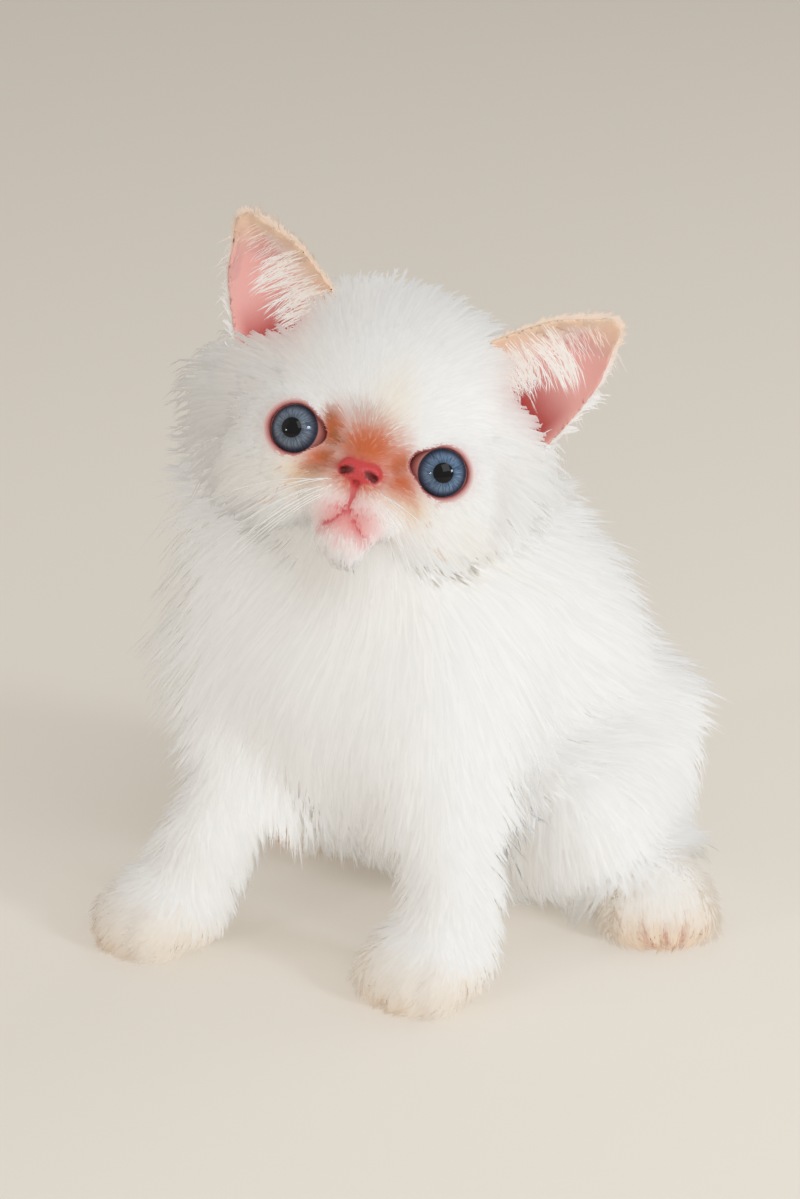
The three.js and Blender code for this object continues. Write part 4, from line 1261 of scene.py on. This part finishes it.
def gather(lines, roots, pull, every, seed):
    """Neighbouring tufts lean towards one of their number, more and more to the tips."""
    chance = np.random.default_rng(seed)
    guides = chance.choice(len(roots), max(1, len(roots) // every), replace=False)
    tree = kdtree.KDTree(len(guides))
    for k, g in enumerate(guides):
        tree.insert(roots[g], k)
    tree.balance()
    near = guides[[tree.find(r)[1] for r in roots]]
    along = np.linspace(0, 1, lines.shape[1])[None, :, None]
    shift = (lines[near] - lines[near][:, :1]) - (lines - lines[:, :1])
    closer = (roots[near] - roots)[:, None, :]
    reach = (pull * chance.uniform(0.4, 1.0, len(roots)))[:, None, None]
    return lines + (shift * 0.8 + closer * 0.75) * reach * along**1.3


def curl(lines, normals, size, seed):
    """A slight wave in each tuft, with its own size and turn."""
    chance = np.random.default_rng(seed)
    many, points = lines.shape[:2]
    along = np.linspace(0, 1, points)[None, :, None]
    onward = unit(lines[:, -1] - lines[:, 0])[:, None, :]
    side = unit(np.cross(normals, onward))
    phase = chance.uniform(0, 2 * np.pi, (many, 1, 1))
    waves = chance.uniform(0.5, 1.1, (many, 1, 1))
    swing = np.sin(phase + along * waves * 2 * np.pi) - np.sin(phase)
    lift = np.cos(phase * 1.7 + along * waves * 5) - np.cos(phase * 1.7)
    return lines + along * size[:, None, None] * (swing * side + 0.6 * lift * normals)


# %% Blades
# The width at each point of a tuft but its last, by the number of its points.
TAPER = {3: (0.8, 1.0), 4: (0.8, 1.0, 0.95), 5: (0.75, 1.0, 1.0, 0.85)}
ROOF = 0.3  # how far the ridge of a tuft stands above its edges, as a share of its half width
PRONGS = 3


def tufts(lines, normals, width, chance):
    """Closed flat tufts that end in three fine prongs.

    Gives their points and faces, a soft shading direction for each point, the direction that its
    underside faces, and which faces are on the underside."""
    many, points = lines.shape[:2]
    onward = unit(np.gradient(lines, axis=1))
    side = unit(np.cross(onward, normals))
    up = np.cross(side, onward)
    rings = points - 1
    half = width[:, None, None] * np.array(TAPER[points], np.float32)[None, :, None] / 2
    middle, s, u = lines[:, :rings], side[:, :rings], up[:, :rings]
    ring = np.stack([middle + s * half, middle + u * half * ROOF, middle - s * half], 2)
    last = lines[:, -1] - lines[:, -2]
    cleft = middle[:, -1] + u[:, -1] * half[:, -1] * ROOF * 0.4
    spread = np.array([1.0, -1.0, 0.0]) + chance.uniform(-0.45, 0.45, (many, PRONGS))
    short = chance.uniform(0.0, 0.4, (many, PRONGS))
    lift = chance.uniform(-0.3, 0.3, (many, PRONGS)) * width[:, None]
    tips = (
        lines[:, None, -1] - last[:, None, :] * short[..., None]
        + side[:, None, -1] * (spread * width[:, None] * 0.75)[..., None]
        + up[:, None, -1] * lift[..., None]
    )
    vertices = np.concatenate([ring.reshape(many, rings * 3, 3), cleft[:, None], tips], 1)
    soft = np.stack([s * 0.6 + u * 0.5, u, -s * 0.6 + u * 0.5], 2).reshape(many, rings * 3, 3)
    soft = np.concatenate([soft, np.repeat(up[:, -1:], 1 + PRONGS, axis=1)], 1)
    down = -np.concatenate([np.repeat(u, 3, axis=1), np.repeat(up[:, -1:], 1 + PRONGS, axis=1)], 1)
    faces, below = [(0, 1, 2)], [False]
    for r in range(rings - 1):
        for j in range(3):
            n = (j + 1) % 3
            lo, hi = 3 * r, 3 * r + 3
            faces += [(lo + n, lo + j, hi + n), (hi + n, lo + j, hi + j)]
            below += [j == 2] * 2
    end, middle = 3 * (rings - 1), 3 * rings
    for j in range(PRONGS):
        a, b, tip = end + j, end + (j + 1) % 3, middle + 1 + j
        faces += [(b, a, tip), (a, middle, tip), (middle, b, tip)]
        below += [j == 2, j == 0, j == 1]
    size = vertices.shape[1]
    faces = (np.array(faces)[None] + (np.arange(many) * size)[:, None, None]).reshape(-1, 3)
    return vertices, faces, soft, down, np.tile(below, many)


# %% Hair finish
def hair_finish():
    finish = Finish("hair")
    along = finish.attribute("along")
    chance = finish.attribute("chance")
    base = finish.mix(chance, WHITE, tuple(c * 0.93 for c in WHITE))
    # painted shade: each tuft greyer towards its root, deep in the coat
    base = finish.mix((1 - along) * 0.25, base, SHADED_WHITE)
    finish.set(
        Base_Color=marked(finish, base, hair=True),
        Roughness=0.72,
        Specular_IOR_Level=0.25,
        Sheen_Weight=0.35,
        Sheen_Roughness=0.4,
        Sheen_Tint=(1.0, 0.98, 0.95, 1),
    )
    return finish


HAIR = hair_finish()
SOFTNESS = 0.88  # how far a tuft is shaded as part of the body's rounded form
GLOW = 0.3  # how far its shading turns upwards, as light that wanders through white hair does
FACING = 0.42  # the least that the shading of a face leans to the side that the face looks to
LOWEST = -0.1  # the furthest down that the body's form turns a tuft's shading


def unwrap(roots, centre, turn=None):
    """A place on a map for each root, from its direction as seen from the region's middle."""
    d = unit(roots - np.asarray(centre, np.float32))
    if turn is not None:
        d = d @ turn
    across = np.arctan2(d[:, 0], -d[:, 1]) / (2 * np.pi) + 0.5
    up = np.arccos(np.clip(d[:, 2], -1, 1)) / np.pi
    return np.stack([0.01 + 0.98 * across, 0.01 + 0.98 * up], -1)


PATCH = 0.003  # the side of a tuft's square on its map
LOWEST_POINT = 0.1  # no point of the coat is nearer to the floor


def leaning(directions, side):
    """Directions turned as little as it takes to lean to the given side."""
    short = np.maximum(FACING - (directions * side).sum(-1, keepdims=True), 0)
    return unit(directions + side * short)


def coat_piece(name, lines, normals, width, places, masks, seed):
    """One piece of the coat, from the combed lines of its tufts."""
    chance = np.random.default_rng(seed)
    vertices, faces, soft, down, below = tufts(lines, normals, width, chance)
    many, size = vertices.shape[:2]
    rings = lines.shape[1] - 1
    body = np.repeat(normals[:, :rings], 3, axis=1)
    body = np.concatenate([body, np.repeat(normals[:, -1:], 1 + PRONGS, axis=1)], 1)
    body[..., 2] = np.maximum(body[..., 2], LOWEST)
    rounded = unit(body * SOFTNESS + soft * (1 - SOFTNESS) - DOWN * GLOW)
    above = leaning(rounded, -down).reshape(-1, 3)
    under = leaning(rounded, down).reshape(-1, 3)
    shading = np.where(below[:, None, None], under[faces], above[faces])
    vertices[..., 2] = np.maximum(vertices[..., 2], LOWEST_POINT)
    made = mesh_object(name, ((vertices + SHIFT) * MM).reshape(-1, 3), faces, HAIR)
    along = np.append(np.repeat(np.arange(rings) / rings, 3), [1 - 1 / rings, 1, 1, 1])
    carry(made, {
        "along": np.tile(along, many),
        "chance": np.repeat(chance.random(many), size),
        **{key: np.repeat(value, size) for key, value in masks.items()},
    })
    across = np.append(np.tile([1.0, 0.0, -1.0], rings), [0.0, 1.0, -1.0, 0.0])
    spots = places[:, None, :] + PATCH / 2 * np.stack([across, 2 * along - 1], -1)[None]
    spots = spots.reshape(-1, 2)[faces.ravel()]
    layer = made.data.uv_layers.new(name="OFBake")
    layer.data.foreach_set("uv", np.ascontiguousarray(spots, np.float32).ravel())
    made.data.normals_split_custom_set(shading.reshape(-1, 3).tolist())
    made.visible_shadow = False
    made.visible_diffuse = False
    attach(made, "root")


MOST_TRIANGLES = 195000
UNDERCOAT = 0.25  # the share of short wide tufts of wool below the long hair
ALL_MASKS = markings(roots)
for mask in ("ears", "ear_hollow_red_and_shade", "edges"):  # the combed coat grows round the ears, not on them
    ALL_MASKS[mask] = ALL_MASKS[mask] * 0


def grow(name, chosen, points, centre, turn=None, pull=0.45, every=12, wave=0.035, seed=1):
    """Combs the chosen roots and makes their piece, or several where it would be too large."""
    chosen = np.asarray(chosen)
    chance = np.random.default_rng(seed)
    p, weight = roots[chosen], root_share[chosen]
    depth, length, width, _ = coat_plan(p, weight)
    lot = chance.random(len(p))
    under = lot < UNDERCOAT
    reach = np.where(under, 0.3 + lot, 0.58 + 0.42 * lot)
    depth, length = depth * reach, length * (0.4 + 0.6 * reach) * chance.uniform(0.88, 1.12, len(p))
    width = width * np.where(under, 2.2, 1.0) * chance.uniform(0.75, 1.2, len(p))
    lines, normals = comb(p, weight, depth.astype(np.float32), length.astype(np.float32), points)
    lines = gather(lines, p, pull, every, seed + 100)
    lines = curl(lines, normals, wave * length, seed + 200)
    lines = clear_of_eyes(lines.reshape(-1, 3)).reshape(lines.shape)
    lines[..., 2] = np.maximum(lines[..., 2], 0.4)
    places = unwrap(p, centre, turn)
    masks = {key: value[chosen] for key, value in ALL_MASKS.items()}
    each = 6 * points - 2  # triangles of a tuft
    pieces = math.ceil(len(p) * each / MOST_TRIANGLES)
    order = np.argsort(places[:, 0])
    for k, part in enumerate(np.array_split(order, pieces)):
        label = name if pieces == 1 else f"{name}_{k + 1}"
        coat_piece(label, lines[part], normals[part], width[part], places[part],
                   {key: value[part] for key, value in masks.items()}, seed + k)
    note(f"{name}: {len(p)} tufts, {len(p) * each} triangles, {pieces} piece(s)")
    return len(p) * each


# %% [markdown]
# ### The pieces of the coat
# The face and the paws get short tufts of three points. Long hair gets tufts of five, which bend
# more smoothly. Each region is its own piece, or several where it would have too many triangles.

# %% Grow the coat
is_head = region == NAMES.index("head")
head_long = is_head & (coat_plan(roots, root_share)[1] > 12)
total = 0
total += grow(
    "coat_face", np.flatnonzero(is_head & ~head_long), 3, SKULL, HEAD,
    pull=0.25, every=8, wave=0.03, seed=3,
)
total += grow("coat_head", np.flatnonzero(head_long), 5, SKULL, HEAD, seed=4)
for part, middle, points, seed in (
    ("neck", (5, 37, 112), 5, 5), ("torso", (2, 64, 62), 5, 6), ("tail", TAIL[2][0], 4, 7),
):
    chosen = np.flatnonzero(region == NAMES.index(part))
    total += grow(f"coat_{part}", chosen, points, middle, seed=seed)
for side, s in (("left", LEFT), ("right", RIGHT)):
    for part, middle, points in (
        ("foreleg", s["elbow"][0], 4), ("forepaw", s["forepaw"][0], 3),
        ("thigh", s["hip"][0], 5), ("hindfoot", s["hindpaw"][0], 3),
    ):
        chosen = np.flatnonzero(region == NAMES.index(f"{part}_{side}"))
        total += grow(f"coat_{part}_{side}", chosen, points, middle, seed=20 + len(part))
note(f"{total} triangles of coat")

# %% [markdown]
# ### The hair of the ears
# The back of an ear and its rim have short hair that runs to the tip, tinted peach at the edge.
# Inside, long white hair starts at the edge nearer the middle of the head and crosses the pink cup
# outwards, so that the cup shows through it in slits. More of it rises from the base of the cup.

# %% Ear hair
EAR_HAIR = [
    # tufts, across, up, ahead, way: outwards, spread, ahead, up, then length and width
    (1300, (-0.97, 0.97), (0.03, 0.94), -0.8, (0.0, 0.0, -0.3, 1.0), (3, 5), 0.5),
    (420, (0.92, 1.0), (0.02, 0.92), 0.0, (0.0, 0.12, 0.1, 1.0), (1.6, 3), 0.22),
    (420, (-1.0, -0.92), (0.02, 0.92), 0.0, (0.0, 0.12, 0.1, 1.0), (1.6, 3), 0.22),
    (160, (-0.9, 0.9), (0.93, 0.99), 0.0, (0.0, 0.1, 0.1, 1.0), (1.0, 2), 0.22),
    (230, (-1.0, -0.3), (0.0, 0.66), 0.7, (1.0, 0.0, 0.22, 0.2), (8, 17), 0.19),
    (300, (-0.95, 1.0), (-0.04, 0.12), 0.7, (0.45, 0.0, 0.5, 0.9), (5, 11), 0.26),
    (260, (0.7, 1.0), (-0.02, 0.6), 0.4, (0.25, 0.0, 0.2, 1.0), (5, 10), 0.24),
    (340, (-0.8, 0.9), (0.15, 0.9), 0.8, (1.0, 0.0, 0.12, 0.05), (4, 8), 0.12),
]
EAR_MIDDLE = 16.0


def ear_rows(side, row, chance):
    """Lines, shading directions, widths and roots of one kind of ear hair."""
    number, across, up, ahead, (outwards, spread, forward, rise), length, width = row
    number = int(number * COAT_SCALE)
    across = chance.uniform(*across, number) * side
    z = chance.uniform(*up, number) * (EAR_HEIGHT + 3) - 3
    half = ear_sheet(np.zeros(number), z)[2]
    x = across * half
    root = np.stack([x, ear_sheet(x, z)[3] - ahead, z], -1)
    sideways = side * outwards + spread * across
    way = np.stack([sideways, np.full(number, -forward), np.full(number, rise)], -1)
    way = unit(way + chance.normal(0, 0.12, (number, 3)))
    reach = chance.uniform(*length, number)[:, None, None]
    t = np.linspace(0, 1, 4 if length[1] > 8 else 3)[None, :, None]
    bend = chance.normal(0, 0.1, (number, 1, 3)) - np.array([0, 0, 0.22 if outwards else 0.0])
    line = root[:, None] + reach * (way[:, None] * t + bend * t**2)
    facing = np.zeros((number, t.shape[1], 3))
    facing[..., 1] = 1.0 if ahead < 0 else -1.0
    facing[..., 0] = spread * across[:, None]
    turn = from_ear(np.eye(3), side) - from_ear(np.zeros((3, 3)), side)
    return (
        from_head(from_ear(line, side)), unit(facing @ turn @ HEAD.T),
        width * chance.uniform(0.7, 1.3, number), root,
    )


for side, label in ((1, "left"), (-1, "right")):
    chance = np.random.default_rng(60 + side)
    for kind, rows in (("short", EAR_HAIR[:4] + EAR_HAIR[7:]), ("long", EAR_HAIR[4:7])):
        made = [ear_rows(side, row, chance) for row in rows]
        lines, facing, width, root = (np.concatenate(part) for part in zip(*made))
        if kind == "long":
            lines = gather(lines, from_head(from_ear(root, side)), 0.8, 22, 68 + side)
        masks = markings(from_head(from_ear(root, side)))
        for name in ("ears", "ear_hollow_red_and_shade"):
            masks[name] = masks[name] * (0.5 if kind == "short" else 0.0)
        masks["edges"] = masks["edges"] * (1.0 if kind == "short" else 0.5)
        places = unwrap(root, (0, 0, EAR_MIDDLE))
        coat_piece(f"coat_ear_{label}_{kind}", lines, facing, width, places, masks, 70 + side)
    note(f"hair of the {label} ear")

# %% [markdown]
# ## The whiskers
# Whiskers are stiff single hairs, thick at the root and drawn out to nothing. Each is a path of
# points; a small tree of Geometry Nodes turns every path into a tapered bristle, so its thickness
# is one number for all of them.


# %% Bristle tree
def bristle_tree():
    """A node tree that turns the edges of a mesh into tapered bristles."""
    tree = bpy.data.node_groups.new("bristles", "GeometryNodeTree")
    inputs = {}
    for name, kind, value in (
        ("Lines", "Geometry", None), ("Thickness", "Float", 0.0003),
        ("Sides", "Int", 5), ("Finish", "Material", None),
    ):
        socket = tree.interface.new_socket(name, in_out="INPUT", socket_type="NodeSocket" + kind)
        if value is not None:
            socket.default_value = value
        inputs[name] = socket.identifier
    tree.interface.new_socket("Bristles", in_out="OUTPUT", socket_type="NodeSocketGeometry")

    def node(kind, settings=None, **links):
        made = tree.nodes.new(kind)
        for key, value in (settings or {}).items():
            setattr(made, key, value)
        for name, value in links.items():
            socket = made.inputs[name.replace("_", " ")]
            if isinstance(value, bpy.types.NodeSocket):
                tree.links.new(value, socket)
            else:
                socket.default_value = value
        return made

    given = node("NodeGroupInput").outputs
    curve = node("GeometryNodeMeshToCurve", Mesh=given["Lines"])
    along = node("GeometryNodeInputNamedAttribute", {"data_type": "FLOAT"}, Name="along")
    left = node("ShaderNodeMapRange", Value=along.outputs["Attribute"], To_Min=1.0, To_Max=0.06)
    ring = node(
        "GeometryNodeCurvePrimitiveCircle", Resolution=given["Sides"], Radius=given["Thickness"]
    )
    solid = node(
        "GeometryNodeCurveToMesh", Curve=curve.outputs[0], Profile_Curve=ring.outputs[0],
        Scale=left.outputs[0], Fill_Caps=True,
    )
    real = node("GeometryNodeRealizeInstances", Geometry=solid.outputs[0])
    done = node("GeometryNodeSetMaterial", Geometry=real.outputs[0], Material=given["Finish"])
    end = tree.nodes.new("NodeGroupOutput")
    tree.links.new(done.outputs[0], end.inputs[0])
    return tree, inputs


# %% Whiskers
WHISKER_POINTS = 12
WHISKER_THICKNESS = 0.13
WHISKER_FALL = np.array([0.0, 0.15, -0.42])  # how far a tip bends back and down, by its length
whisker_finish = Finish("whisker")
whisker_finish.set(
    Base_Color=whisker_finish.mix(whisker_finish.noise(400.0), WHITE, SHADED_WHITE),
    Roughness=0.35, Specular_IOR_Level=0.5,
)


def whisker_paths(side):
    """Paths of one side's whiskers: three rows of four on the muzzle."""
    chance = np.random.default_rng(80 + side)
    t = np.linspace(0, 1, WHISKER_POINTS)[:, None]
    paths = []
    for row in range(3):
        for k in range(4):
            root = front_of_face(side * (6.0 + 1.5 * k), -14.4 - 1.9 * row - 0.5 * k)
            way = np.array([side, -0.62 + 0.16 * k, -0.25 - 0.30 * row])
            way = unit(way + chance.normal(0, 0.08, 3))
            length = chance.uniform(24, 36)
            bent = t * way + t**2 * WHISKER_FALL
            paths.append(np.array(root) - ROOT_BELOW * way + length * bent)
    return paths


tree, inputs = bristle_tree()
for side, label in ((1, "left"), (-1, "right")):
    paths = whisker_paths(side)
    points = (from_head(np.concatenate(paths)) + SHIFT) * MM
    edges = [(n * WHISKER_POINTS + k, n * WHISKER_POINTS + k + 1)
             for n in range(len(paths)) for k in range(WHISKER_POINTS - 1)]
    data = bpy.data.meshes.new("paths")
    data.from_pydata(points.tolist(), edges, [])
    layer = data.attributes.new("along", "FLOAT", "POINT")
    along = np.tile(np.linspace(0, 1, WHISKER_POINTS), len(paths))
    layer.data.foreach_set("value", along.astype(np.float32))
    source = bpy.data.objects.new("paths", data)
    bpy.context.scene.collection.objects.link(source)
    grown = source.modifiers.new("bristles", "NODES")
    grown.node_group = tree
    grown[inputs["Thickness"]] = WHISKER_THICKNESS * MM
    grown[inputs["Sides"]] = 5
    grown[inputs["Finish"]] = whisker_finish.material
    seen = bpy.context.evaluated_depsgraph_get()
    bristles = bpy.data.meshes.new_from_object(source.evaluated_get(seen))
    made = bpy.data.objects.new(f"whiskers_{label}", bristles)
    bpy.data.objects.remove(source)
    made.data.shade_smooth()
    made.visible_shadow = False
    bpy.context.scene.collection.objects.link(made)
    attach(made, "root")
    note(f"{len(paths)} whiskers on the {label}, {len(made.data.polygons)} faces")

low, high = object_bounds()
note(f"visual box {[round(h - l, 4) for l, h in zip(low, high)]}")
